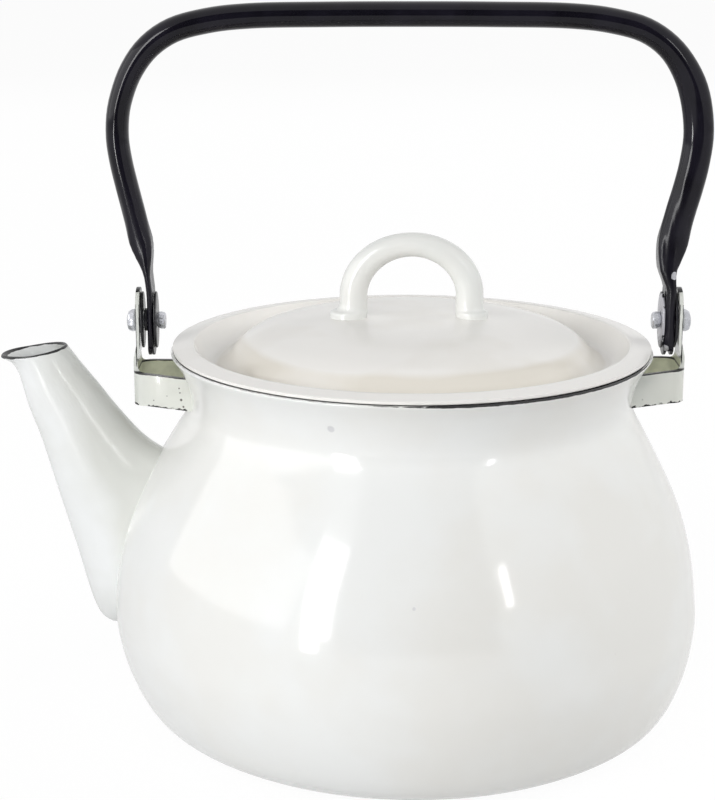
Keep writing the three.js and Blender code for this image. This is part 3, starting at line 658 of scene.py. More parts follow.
def finish_piece(piece, node, body, slot, *materials, angle=35):
    """Shades a piece, gives it its materials, and puts it in the place of its CAD node."""
    pick(piece)
    bpy.ops.object.shade_smooth_by_angle(angle=math.radians(angle))
    piece.data.materials.clear()
    for material in materials:
        piece.data.materials.append(material)
    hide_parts(node)
    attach(piece, body)


# The pot's outline

def lean(height):
    """How far the leaning belly moves a ring along X at a height."""
    sizes = bpy.context.scene.teapot_pot
    neck = sizes.rim_height - sizes.flare_height
    return -sizes.belly_lean * math.sin(math.pi * min(max(height / neck, 0), 1))


def pot_side():
    """The pot's outer side from the flat base up to the rim, as (radius, height) points."""
    sizes = bpy.context.scene.teapot_pot
    neck_height = sizes.rim_height - sizes.flare_height
    corners = [
        (mix(sizes.base_radius, sizes.belly_radius, step), rise * sizes.belly_height)
        for rise, step in LOWER_BELLY_SHARES
    ]
    corners += [
        (mix(sizes.neck_radius, sizes.belly_radius, step),
         mix(sizes.belly_height, neck_height, rise))
        for rise, step in SHOULDER_SHARES
    ]
    corners += [
        (mix(sizes.neck_radius, sizes.rim_radius, rise ** FLARE_POWER),
         mix(neck_height, sizes.rim_height, rise))
        for rise in FLARE_SHARES
    ]
    return spaced_points([Vector(corner) for corner in corners], POT_RINGS, True)


def pot_cutter(inset):
    """A solid of the pot's outside, drawn in by inset, to trim what is welded to the pot."""
    sizes = bpy.context.scene.teapot_pot
    side = [(radius - inset, height) for radius, height in pot_side()]
    low, top = -CUTTER_SPARE, sizes.rim_height + CUTTER_SPARE
    profile = [(0, low), (side[0][0], low), *side, (side[-1][0], top), (0, top)]
    return turned("pot_cutter", profile, POT_FACETS, lean)


# Materials

class Reading:
    """A value in a tree of shader nodes, with which one reckons as with a number."""

    def __init__(self, tree, socket):
        self.tree = tree
        self.socket = socket

    def step(self, operation, *values):
        """One step of arithmetic, in the tree of this value."""
        return reading(self.tree, "Math", dict(enumerate(values)), operation=operation)

    def __add__(self, other):
        return self.step('ADD', self, other)

    def __radd__(self, other):
        return self.step('ADD', other, self)

    def __sub__(self, other):
        return self.step('SUBTRACT', self, other)

    def __rsub__(self, other):
        return self.step('SUBTRACT', other, self)

    def __mul__(self, other):
        return self.step('MULTIPLY', self, other)

    def __truediv__(self, other):
        return self.step('DIVIDE', self, other)

    def __rtruediv__(self, other):
        return self.step('DIVIDE', other, self)

    def __abs__(self):
        return self.step('ABSOLUTE', self)

    def clamped(self):
        """The same value, kept between 0 and 1."""
        self.socket.node.use_clamp = True
        return self


def link_in(tree, node, inputs):
    """Fills the inputs of a node with links or plain values."""
    for key, value in inputs.items():
        if isinstance(value, Reading):
            tree.links.new(value.socket, node.inputs[key])
        else:
            node.inputs[key].default_value = value


def knot(tree, kind, inputs=None, **settings):
    """Adds one node to a tree and returns it."""
    node = tree.nodes.new("ShaderNode" + kind)
    for key, value in settings.items():
        setattr(node, key, value)
    link_in(tree, node, inputs or {})
    return node


def reading(tree, kind, inputs=None, output=0, **settings):
    """Adds one node to a tree and returns what comes out of it."""
    return Reading(tree, knot(tree, kind, inputs, **settings).outputs[output])


def measure(operation, place, *others):
    """One step of arithmetic with places: another place, or else the number it comes to."""
    output = "Value" if operation in ('DISTANCE', 'DOT_PRODUCT', 'LENGTH') else 0
    inputs = dict(enumerate((place, *others)))
    return reading(place.tree, "VectorMath", inputs, output, operation=operation)


def largest(first, *others):
    """The largest of several values."""
    for other in others:
        first = first.step('MAXIMUM', first, other)
    return first


def ramp(value, low, high, start=0.0, end=1.0):
    """start below low, end above high, and an easy change between them."""
    return reading(value.tree, "MapRange", {
        "Value": value, "From Min": low, "From Max": high, "To Min": start, "To Max": end,
    }, interpolation_type='SMOOTHSTEP')


def axis_values(place):
    """The x, y and z of a place."""
    node = knot(place.tree, "SeparateXYZ", {0: place})
    return [Reading(place.tree, socket) for socket in node.outputs]


def from_axis(place):
    """The distance of a place from the pot's axis."""
    return measure('LENGTH', measure('MULTIPLY', place, (1.0, 1.0, 0.0)))


def ray_kinds(tree):
    """1 or 0 for each kind of ray: from the camera, mirrored, and passing through."""
    path = knot(tree, "LightPath")
    return [Reading(tree, path.outputs[f"Is {kind} Ray"])
            for kind in ("Camera", "Glossy", "Transmission")]


def near_point(place, point, radius, softness):
    """1 within radius of a point, and 0 beyond it."""
    distance = measure('DISTANCE', place, point)
    return ramp(distance, radius - softness, radius + softness, start=1.0, end=0.0)


def pattern(place, scale, detail):
    """Soft noise from 0 to 1, with scale blots to the metre."""
    return reading(place.tree, "TexNoise", {"Vector": place, "Scale": scale, "Detail": detail})


def blots(place, size, detail=2.0):
    """Soft noise from 0 to 1, whose blots are about size across."""
    return pattern(place, 1 / size, detail)


def opaque(shade):
    """A colour with its alpha, or one from the tree as it is."""
    return shade if isinstance(shade, Reading) else (*shade, 1)


def blend_colours(part, first, second):
    """The colour at a part of the way from first to second."""
    inputs = {0: part, 6: opaque(first), 7: opaque(second)}
    return reading(part.tree, "Mix", inputs, 2, data_type='RGBA')


def socket_kind(value):
    """The kind of socket that holds a number, a place or a colour with its alpha."""
    if isinstance(value, float):
        return 'NodeSocketFloat'
    return 'NodeSocketColor' if len(value) == 4 else 'NodeSocketVector'


def make_group(name, work_out, answer, inputs):
    """A shader group that works out its answer from a place and other named inputs."""
    group = bpy.data.node_groups.new(name, 'ShaderNodeTree')
    for label, default in {"Place": ORIGIN, **inputs}.items():
        kind = socket_kind(default)
        socket = group.interface.new_socket(name=label, in_out='INPUT', socket_type=kind)
        socket.default_value = default
    kind = socket_kind(answer)
    group.interface.new_socket(name="Answer", in_out='OUTPUT', socket_type=kind)
    entry, leave = group.nodes.new("NodeGroupInput"), group.nodes.new("NodeGroupOutput")
    given = {socket.name: Reading(group, socket) for socket in entry.outputs}
    link_in(group, leave, {"Answer": work_out(given)})
    return group


def use_group(place, name, work_out, answer, inputs):
    """The answer of a shader group, which is made on its first use."""
    defaults = {label: value if isinstance(value, tuple) else 0.0
                for label, value in inputs.items()}
    group = bpy.data.node_groups.get(name) or make_group(name, work_out, answer, defaults)
    return reading(place.tree, "Group", {"Place": place, **inputs}, node_tree=group)


def ripple(place, wave, wave_size, skin, skin_size):
    """Height of fired enamel: slow waves in the sheet under a fine, soft skin."""
    def work_out(given):
        slow = pattern(given["Place"], 1.0 / given["Wave size"], detail=1.0)
        fine = pattern(given["Place"], 1.0 / given["Skin size"], detail=2.0)
        return slow * given["Wave depth"] + fine * given["Skin depth"]
    return use_group(place, "Enamel ripple", work_out, 0.0, {
        "Wave depth": wave, "Wave size": wave_size, "Skin depth": skin, "Skin size": skin_size})


def uneven_tone(place, first, second, size, bias=0.0):
    """A colour in clouds of two tones. The bias shifts it from the first to the second."""
    def work_out(given):
        clouds = ramp(pattern(given["Place"], 1.0 / given["Size"], detail=3.0), *CLOUD_RANGE)
        part = (clouds + given["Bias"]).clamped()
        return blend_colours(part, given["First"], given["Second"])
    return use_group(place, "Enamel tone", work_out, opaque(first), {
        "First": opaque(first), "Second": opaque(second), "Size": size, "Bias": bias})


def edge_paint(place, distance, width, jag, jag_size, wear):
    """Black brushed along an edge: 1 within a jagged width of it, with gaps where it has worn."""
    def work_out(given):
        scale = 1.0 / given["Jag size"]
        swing = (pattern(given["Place"], scale, detail=3.0) - 0.5) * given["Jag"]
        over = given["Width"] + swing - given["Distance"]
        inside = (over / PAINT_SOFTNESS).clamped()
        gaps = pattern(given["Place"], scale * GAP_SCALE_SHARE, detail=4.0)
        return inside * ramp(gaps - given["Wear"], -GAP_SOFTNESS, GAP_SOFTNESS)
    return use_group(place, "Edge paint", work_out, 0.0, {
        "Distance": distance, "Width": width, "Jag": jag, "Jag size": jag_size, "Wear": wear})


def scattered_pits(place, spacing, size, chance):
    """Scattered small pits in the enamel, as a mask."""
    def work_out(given):
        scale = 1.0 / given["Spacing"]
        cells = knot(scale.tree, "TexVoronoi", {"Vector": given["Place"], "Scale": scale})
        colour_of_cell = Reading(scale.tree, cells.outputs["Color"])
        draw = reading(scale.tree, "SeparateColor", {"Color": colour_of_cell})
        middle = Reading(scale.tree, cells.outputs["Distance"])
        chosen = draw.step('LESS_THAN', draw, given["Chance"])
        return chosen * middle.step('LESS_THAN', middle, given["Size"])
    return use_group(place, "Enamel pits", work_out, 0.0, {
        "Spacing": spacing, "Size": size, "Chance": chance})


def new_material(name):
    """A material, its shader, and the object's own coordinates in its tree."""
    material = bpy.data.materials.new(name)
    material.use_nodes = True
    tree = material.node_tree
    tree.nodes.clear()
    shader = knot(tree, "BsdfPrincipled")
    knot(tree, "OutputMaterial", {0: Reading(tree, shader.outputs[0])})
    return material, shader, reading(tree, "TexCoord", output="Object")


def coat(shader, height, inputs):
    """Gives a shader its relief and its other inputs."""
    bump = reading(height.tree, "Bump", {"Strength": 1.0, "Distance": 1.0, "Height": height})
    link_in(height.tree, shader, {"Normal": bump, **inputs})


def white_enamel(name, first, second, bias=None, black=None, chips=(), wave=0.00009,
                 wave_size=0.035, roughness=0.09):
    """Glossy white enamel with uneven tone, soft waves, pits, black edges and chips.

    bias and black are functions of the place.
    """
    material, shader, place = new_material(name)
    finishes = bpy.context.scene.teapot_finishes
    tone = uneven_tone(place, first, second, size=0.045, bias=bias(place) if bias else 0.0)
    pits = scattered_pits(place, spacing=0.017, size=0.011, chance=0.11)
    tone = blend_colours(pits * PIT_DARKNESS, tone, finishes.chip_rust)
    hollows = pits
    for point, radius, core_radius in chips:
        chip = near_point(place, point, radius, softness=radius * 0.2)
        core = near_point(place, point, core_radius, softness=core_radius * 0.5 + CORE_SOFTNESS)
        tone = blend_colours(chip * CHIP_BARENESS, tone, finishes.bare_steel)
        tone = blend_colours(core, tone, finishes.chip_rust)
        hollows = (hollows + chip).clamped()
    rough = hollows * HOLLOW_ROUGHNESS
    if black:
        mask = black(place)
        tone = blend_colours(mask, tone, finishes.edge_black)
        rough = rough + mask * PAINT_ROUGHNESS
    height = ripple(place, wave, wave_size, skin=0.0000025, skin_size=0.0016)
    coat(shader, height - hollows * ENAMEL_DEPTH, {
        "Base Color": tone, "Roughness": rough + roughness, "Specular IOR Level": 0.5})
    return material


def rim_black(place):
    """Black on the pot's rim: a thin line on its outer edge, and thickest at the front right."""
    sizes = bpy.context.scene.teapot_pot
    x, y, z = axis_values(place)
    turn = y.step('ARCTAN2', y, x) + RIM_BLACK_TURN
    towards = turn.step('COSINE', turn)
    width = ramp(towards, 0.7, 0.98, start=-0.0004, end=0.0003)
    wear = ramp(abs(x + RIM_BREAK), 0.003, 0.012, start=0.5, end=0.25)
    paint = edge_paint(place, sizes.rim_height - z, width, jag=0.0006, jag_size=0.0035, wear=wear)
    on_side = ramp(from_axis(place), sizes.rim_radius - 0.0008, sizes.rim_radius - 0.0005)
    thick = ramp(towards, 0.8, 0.86)
    return paint * largest(on_side, thick)


def mouth_black(place):
    """Black on the lip of the spout's mouth, wider towards its back."""
    sizes = bpy.context.scene.teapot_spout
    run = Vector((sizes.tip_reach - sizes.back_reach, 0, sizes.back_height - sizes.tip_height))
    up = Vector((-run.z, 0, run.x)).normalized()
    tip = Vector((-sizes.tip_reach, 0, sizes.tip_height))
    below = measure('DOT_PRODUCT', measure('SUBTRACT', place, tip), up) * -1.0
    width = ramp(axis_values(place)[0], -sizes.tip_reach, -sizes.back_reach,
                 start=0.00025, end=0.00095)
    return edge_paint(place, below, width, jag=0.0009, jag_size=0.003, wear=0.25)


def bracket_black(strap_bottom):
    """Black along a strap's upper and lower edges and on the ear's top, and painted shade as a thin
    black line round the ear's face.
    """
    def mask(place):
        sizes = bpy.context.scene.teapot_brackets
        strap_top = strap_bottom + sizes.strap_height
        x, y, z = axis_values(place)
        out = abs(x - sizes.offset)
        inward = largest(sizes.reach - sizes.corner - out, 0.0)
        level = z + inward * (sizes.leg_drop / sizes.leg_length)
        top = edge_paint(place, strap_top - level, width=0.0005, jag=0.0004, jag_size=0.003,
                         wear=0.12)
        top *= 1.0 - ramp(level, strap_top + 0.0002, strap_top + 0.0006)
        bottom = edge_paint(place, level - strap_bottom, width=0.0006, jag=0.0024,
                            jag_size=0.002, wear=0.45)
        ear = edge_paint(place, sizes.ear_top - z, width=0.0012, jag=0.001, jag_size=0.003,
                         wear=0.2)
        # Painted shade: a thin black line along the ear's side edges stands in for the shade on
        # their rounded edges.
        half_sheet = sizes.sheet / 2
        sheet_middle = sizes.reach - sizes.ear_set_in - half_sheet
        to_face = abs(abs(out - sheet_middle) - half_sheet)
        to_outline = largest(to_face, sizes.ear_half_width - abs(y))
        outline = edge_paint(place, to_outline, width=0.00026, jag=0.0004, jag_size=0.003,
                             wear=0.3)
        outline *= ramp(z, strap_top + 0.001, strap_top + 0.003)
        return largest(top, bottom, ear, outline)
    return mask


def spout_flank_painted_shade(place):
    """Painted shade: the spout's enamel is drawn darker on the flank that looks at the pot, and
    lighter on its outer flank.
    """
    sizes = bpy.context.scene.teapot_spout
    x, _, z = axis_values(place)
    slope = (sizes.tip_reach - sizes.foot_reach) / (sizes.tip_height - sizes.foot_height)
    inward = x + (z - sizes.foot_height) * slope + sizes.foot_reach
    return ramp(inward, 0.008, 0.03, start=-0.6, end=0.7)


def ring_painted_shade(place):
    """Painted shade: the lid's enamel is drawn darker along the sunken ring, where shade falls in
    the recess.
    """
    radius = from_axis(place)
    in_ring = ramp(radius, 0.06, 0.066) * ramp(radius, 0.071, 0.0755, start=1.0, end=0.0)
    return ramp(in_ring, 0.0, 1.0, start=-0.75, end=0.5)


def right_side_painted_shade(place):
    """Painted shade: the pot's enamel is drawn darker and warmer towards the right, away from the
    key light, and lighter to the left.
    """
    return ramp(axis_values(place)[0], -0.09, 0.11, start=-0.35, end=0.35)


def olive_ground(side, black):
    """Olive ground coat on the inside of a bracket, left bare of white, with a black edge."""
    material, shader, place = new_material(f"bracket_{side}_ground_coat")
    finishes = bpy.context.scene.teapot_finishes
    olive = Vector(finishes.bracket_inside)
    tone = uneven_tone(place, olive, olive * 1.2, size=0.004)
    tone = blend_colours(black(place), tone, finishes.edge_black)
    height = ripple(place, wave=0.00003, wave_size=0.006, skin=0.000008, skin_size=0.0008)
    coat(shader, height, {"Base Color": tone, "Roughness": 0.35})
    return material


def ragged_chip(place, point, radius, ragged):
    """1 within a ragged patch round a point, and 0 beyond it."""
    edge = measure('DISTANCE', place, point) + ragged * radius
    return ramp(edge, radius * 0.9, radius, start=1.0, end=0.0)


def black_enamel(name, base, roughness, mirror, chips=(), worked=None):
    """Glossy black enamel over steel, chipped to bare metal at a few points.

    Below the height worked[1] and fully below worked[0] the steel is creased by the hammer.
    """
    material, shader, place = new_material(name)
    base = Vector(base)
    tone = uneven_tone(place, base, base * 1.9, size=0.012)
    metal, rough = 0.0, roughness
    if chips:
        ragged = blots(place, size=0.0016, detail=3.0) - 0.5
        metal = largest(*(ragged_chip(place, *chip, ragged) for chip in chips))
        tone = blend_colours(metal, tone, bpy.context.scene.teapot_finishes.bare_steel)
        rough = metal * METAL_ROUGHNESS + roughness
    height = ripple(place, wave=0.00002, wave_size=0.011, skin=0.0000016, skin_size=0.0012)
    if worked:
        hammered = ramp(axis_values(place)[2], *worked, start=1.0, end=0.0)
        drawn_out = measure('MULTIPLY', place, (1.0, 1.0, 0.12))
        height += blots(drawn_out, size=0.0045, detail=1.0) * CREASE_DEPTH * hammered
        rough += hammered * HAMMERED_ROUGHNESS
    coat(shader, height, {
        "Base Color": tone, "Roughness": rough, "Metallic": metal, "Specular IOR Level": mirror})
    return material


def hammered_steel():
    """Bright rivet steel with a worked skin."""
    material, shader, place = new_material("rivet_hammered_steel")
    bright = Vector(bpy.context.scene.teapot_finishes.rivet_steel)
    tone = uneven_tone(place, bright, bright * 0.75, size=0.0022)
    height = ripple(place, wave=0.00022, wave_size=0.0028, skin=0.000012, skin_size=0.0006)
    coat(shader, height, {"Base Color": tone, "Roughness": 0.27, "Metallic": 0.9})
    return material


# Operators, one for each piece or group of like pieces, and one for the stage

class TEAPOT_OT_pot(bpy.types.Operator):
    """Make the deep-drawn pot with its strainer holes"""

    bl_idname = "teapot.pot"
    bl_label = "Pot"

    def execute(self, context):
        sizes = context.scene.teapot_pot
        finishes = context.scene.teapot_finishes
        base = [(out * sizes.base_radius, 0) for out in BASE_SHARES]
        pot = turned("pot", [*base, *pot_side()], POT_FACETS, lean)
        apply_modifier(pot, 'SOLIDIFY', thickness=sizes.wall, offset=-1, use_even_offset=True)
        round_edges(pot, sizes.rim_round)
        turns = [2 * math.pi * hole / sizes.holes for hole in range(sizes.holes)]
        ring = [(sizes.hole_ring * math.sin(turn), sizes.hole_ring * math.cos(turn))
                for turn in turns]
        for y, z in [(0, 0), *ring]:
            middle = (-sizes.belly_radius, y, sizes.strainer_height + z)
            work(pot, peg("strainer_drill", middle, sizes.hole_diameter / 2, STRAINER_DRILL,
                          HOLE_FACETS))
        # The right side's bias paints shade on the pot's right side.
        enamel = white_enamel("pot_white_enamel", finishes.pot_white, finishes.pot_tone_and_painted_shade,
                              right_side_painted_shade, rim_black, POT_CHIPS)
        finish_piece(pot, "pot_body", "pot", "pot_enamel", enamel)
        return {'FINISHED'}


class TEAPOT_OT_spout(bpy.types.Operator):
    """Make the tapered spout and trim its foot to the pot"""

    bl_idname = "teapot.spout"
    bl_label = "Spout"

    def execute(self, context):
        sizes = context.scene.teapot_spout
        finishes = context.scene.teapot_finishes
        under = self.edge(SPOUT_UNDER_SHARES, (sizes.foot_reach, sizes.foot_height),
                          (sizes.tip_reach, sizes.tip_height))
        over = self.edge(SPOUT_OVER_SHARES, (sizes.crotch_reach, sizes.crotch_height),
                         (sizes.back_reach, sizes.back_height))
        sections = []
        for ring in range(SPOUT_RINGS + 1):
            low, high = under[ring], over[ring]
            across = high - low
            half_depth = mix(sizes.foot_half_width, sizes.mouth_half_width, ring / SPOUT_RINGS)
            sections.append(((low + high) / 2, math.atan2(across.z, across.x),
                             across.length / 2, half_depth, None))
        spout = swept("spout_tube", sections, SPOUT_FACETS)
        apply_modifier(spout, 'SOLIDIFY', thickness=sizes.wall, offset=-1, use_even_offset=True)
        round_edges(spout, sizes.lip_round, segments=2, angle=60)
        work(spout, pot_cutter(sizes.weld_sink))
        # The shade tone and its bias paint shade on the spout's flank towards the pot.
        enamel = white_enamel("spout_white_enamel", finishes.spout_white, finishes.spout_painted_shade,
                              spout_flank_painted_shade, mouth_black, roughness=0.2)
        finish_piece(spout, "spout", "pot", "pot_enamel", enamel)
        return {'FINISHED'}

    @staticmethod
    def edge(shares, start, end):
        """Points of one of the spout's edges in the bail's plane."""
        points = [
            Vector((-mix(start[0], end[0], out), 0, mix(start[1], end[1], rise)))
            for out, rise in shares
        ]
        return spaced_points(points, SPOUT_RINGS, False)


class TEAPOT_OT_lid(bpy.types.Operator):
    """Make the pressed lid with its sunken ring and dome"""

    bl_idname = "teapot.lid"
    bl_label = "Lid"

    def execute(self, context):
        sizes = context.scene.teapot_lid
        finishes = context.scene.teapot_finishes
        crest = sizes.edge_radius - sizes.flange_width
        trough = crest - sizes.ring_width
        dome = trough - sizes.trough_width
        crest_height = sizes.seat + sizes.sheet + sizes.crest_rise
        trough_height = crest_height - sizes.trough_depth
        corners = [
            (out * dome, trough_height + rise * sizes.dome_rise) for out, rise in LID_DOME_SHARES
        ]
        corners.append((trough, trough_height))
        corners += [
            (mix(trough, crest, out), trough_height + rise * sizes.trough_depth)
            for out, rise in LID_RING_SHARES
        ]
        corners += [(crest, crest_height), (sizes.edge_radius, sizes.seat + sizes.sheet)]
        profile = spaced_points([Vector(corner) for corner in corners], LID_RINGS, True)
        lid = turned("lid_pressing", [tuple(point) for point in profile], POT_FACETS)
        apply_modifier(lid, 'SOLIDIFY', thickness=sizes.sheet, offset=-1, use_even_offset=True)
        round_edges(lid, sizes.edge_round)
        # The ring's bias paints shade into the lid's sunken ring.
        enamel = white_enamel("lid_white_enamel", finishes.lid_white, finishes.lid_tone_and_painted_shade, ring_painted_shade,
                              wave=0.00006, roughness=0.24)
        finish_piece(lid, "lid_shell", "lid", "lid_enamel", enamel)
        return {'FINISHED'}


class TEAPOT_OT_loop(bpy.types.Operator):
    """Make the lid's loop with its two welded feet"""

    bl_idname = "teapot.loop"
    bl_label = "Lid loop"

    def execute(self, context):
        sizes = context.scene.teapot_lid
        finishes = context.scene.teapot_finishes
        half_width = sizes.loop_half_width - sizes.loop_leg / 2
        crown = sizes.loop_top - sizes.loop_crown / 2
        dome_top = sizes.sheet + sizes.crest_rise - sizes.trough_depth + sizes.dome_rise
        sections = self.foot(-1, half_width, sizes.pad_reach_left, dome_top)
        for ring in range(LOOP_RINGS + 1):
            turn = math.pi * ring / LOOP_RINGS
            height = mix(sizes.loop_spring, crown, math.sin(turn))
            middle = Vector((-half_width * math.cos(turn), 0, sizes.seat + height))
            run = Vector((half_width * math.sin(turn), 0,
                          (crown - sizes.loop_spring) * math.cos(turn)))
            thickness = mix(sizes.loop_leg, sizes.loop_crown, math.sin(turn) ** LOOP_CROWN_POWER)
            sections.append((middle, math.atan2(-run.x, run.z), thickness / 2,
                             sizes.loop_depth / 2, None))
        right = self.foot(1, half_width, sizes.pad_reach_right, dome_top)
        sections += [
            (middle, -math.pi + tilt, half_run, half_depth, limit)
            for middle, tilt, half_run, half_depth, limit in reversed(right)
        ]
        loop = swept("loop_grip", sections, LOOP_FACETS, open_ends=False)
        enamel = white_enamel("loop_white_enamel", finishes.loop_white, finishes.pot_tone_and_painted_shade,
                              wave=0.00004, wave_size=0.012, roughness=0.2)
        finish_piece(loop, "lid_loop", "lid", "lid_enamel", enamel, angle=60)
        return {'FINISHED'}

    @staticmethod
    def foot(side, half_width, reach, dome_top):
        """Rings of one foot, from inside the dome's sheet up through its pad to the leg."""
        sizes = bpy.context.scene.teapot_lid
        leg, leg_depth = sizes.loop_leg / 2, sizes.loop_depth / 2
        pad, pad_depth = leg + reach / 2, sizes.pad_half_depth
        rings = []
        for rise, spread in LOOP_FOOT_SHARES:
            middle = Vector((side * (half_width + spread * reach / 2), 0,
                             sizes.seat + dome_top + rise * MM))
            rings.append((middle, 0.0, mix(leg, pad, spread), mix(leg_depth, pad_depth, spread),
                          None))
        return rings


class TEAPOT_OT_brackets(bpy.types.Operator):
    """Make the two strap brackets with their ears"""

    bl_idname = "teapot.brackets"
    bl_label = "Brackets"

    def execute(self, context):
        sizes = context.scene.teapot_brackets
        finishes = context.scene.teapot_finishes
        for side, sign, bottom in (("left", -1, sizes.bottom_left),
                                   ("right", 1, sizes.bottom_right)):
            bracket = self.bracket(side, sign, bottom)
            black = bracket_black(bottom)
            specks = [((sign * x, y, z), radius, radius * SPECK_CORE_SHARE)
                      for x, y, z, radius in BRACKET_SPECKS]
            enamel = white_enamel(
                f"bracket_{side}_enamel", finishes.bracket_white, finishes.bracket_shade,
                black=black, chips=specks, wave=0.00003, wave_size=0.01)
            finish_piece(bracket, f"bracket_{side}", "pot", "bracket_enamel", enamel,
                         olive_ground(side, black), angle=30)
            self.bare_inside(bracket, sign, bottom)
        return {'FINISHED'}

    def bracket(self, side, sign, bottom):
        """One bracket, drawn facing +X and turned to its side of the pot."""
        sizes = bpy.context.scene.teapot_brackets
        top = bottom + sizes.strap_height
        low = bottom - SPARE
        span = 2 * (sizes.half_span + sizes.leg_length)
        strap = plate(f"strap_{side}", [(x, y, low) for x, y in self.plan()],
                      (0, 0, sizes.ear_top - low))
        corner = sizes.reach - sizes.corner
        inner = corner - sizes.leg_length
        outer = sizes.reach + SPARE
        foot_top = top + sizes.ear_fillet
        front = [
            (inner, bottom - sizes.leg_drop), (corner, bottom), (outer, bottom),
            (outer, foot_top), (corner, foot_top), (corner, top), (inner, top - sizes.leg_drop),
        ]
        self.trim(strap, front, span, 'INTERSECT')
        face, back = sizes.reach, sizes.reach - sizes.sheet
        jog_top = foot_top + sizes.ear_jog
        ear_top = sizes.ear_top + SPARE
        ear = [
            (face, foot_top - sizes.sheet), (face, foot_top), (face - sizes.ear_set_in, jog_top),
            (face - sizes.ear_set_in, ear_top), (back - sizes.ear_set_in, ear_top),
            (back - sizes.ear_set_in, jog_top), (back, foot_top), (back, foot_top - sizes.sheet),
        ]
        self.trim(strap, ear, span, 'UNION')
        outline = self.outline(bottom)
        work(strap, plate("side_trim", [(0, y, z) for y, z in outline], (2 * sizes.reach, 0, 0)),
             'INTERSECT')
        pierce(strap, (sizes.reach, 0, sizes.pivot_height), 2 * SPARE)
        move_piece(strap, (sizes.offset, 0, 0), 0 if sign > 0 else math.pi)
        work(strap, pot_cutter(LEG_SINK))
        round_edges(strap, sizes.edge_round, segments=2)
        return strap

    @staticmethod
    def trim(strap, outline, span, operation):
        """Works the strap with a shape drawn from the front."""
        shape = plate("front_trim", [(x, -span / 2, z) for x, z in outline], (0, span, 0))
        work(strap, shape, operation)

    @staticmethod
    def plan():
        """The strap seen from above: its face, two rounded corners and two splayed legs."""
        sizes = bpy.context.scene.teapot_brackets
        centre_x, centre_y = sizes.reach - sizes.corner, sizes.half_span - sizes.corner
        turn = math.pi / 2 - sizes.splay
        inner = sizes.corner - sizes.sheet

        def leg_end(side, radius):
            along = sizes.leg_length
            return (centre_x + radius * math.cos(turn) - along * math.sin(turn),
                    side * (centre_y + radius * math.sin(turn) + along * math.cos(turn)))

        return [
            leg_end(-1, sizes.corner),
            *arc(centre_x, -centre_y, sizes.corner, -turn, 0),
            *arc(centre_x, centre_y, sizes.corner, 0, turn),
            leg_end(1, sizes.corner), leg_end(1, inner),
            *arc(centre_x, centre_y, inner, turn, 0),
            *arc(centre_x, -centre_y, inner, 0, -turn),
            leg_end(-1, inner),
        ]

    @staticmethod
    def outline(bottom):
        """The bracket seen from outboard: strap, fillets and ear."""
        sizes = bpy.context.scene.teapot_brackets
        top = bottom + sizes.strap_height
        half = sizes.half_span + sizes.leg_length
        low = bottom - SPARE
        fillet = sizes.ear_fillet
        ear = sizes.ear_half_width
        return [
            (-half, low), (half, low), (half, top),
            *arc(ear + fillet, top + fillet, fillet, -math.pi / 2, -math.pi),
            *arc(0, sizes.ear_top - ear, ear, 0, math.pi, 2 * ARC_STEPS),
            *arc(-ear - fillet, top + fillet, fillet, 0, -math.pi / 2),
            (-half, top),
        ]

    @staticmethod
    def bare_inside(bracket, sign, bottom):
        """Gives the olive ground coat to the strap's faces that look at its own middle."""
        sizes = bpy.context.scene.teapot_brackets
        middle = Vector((sign * (sizes.reach - INSIDE_REACH) + sizes.offset, 0, 0))
        top = bottom + sizes.strap_height + INSIDE_TOP
        for face in bracket.data.polygons:
            out = face.center - middle
            out.z = 0
            looks_in = out.normalized().dot(face.normal) < LOOKS_IN
            is_upright = abs(face.normal.z) < STANDS_UPRIGHT
            if looks_in and is_upright and face.center.z < top:
                face.material_index = 1


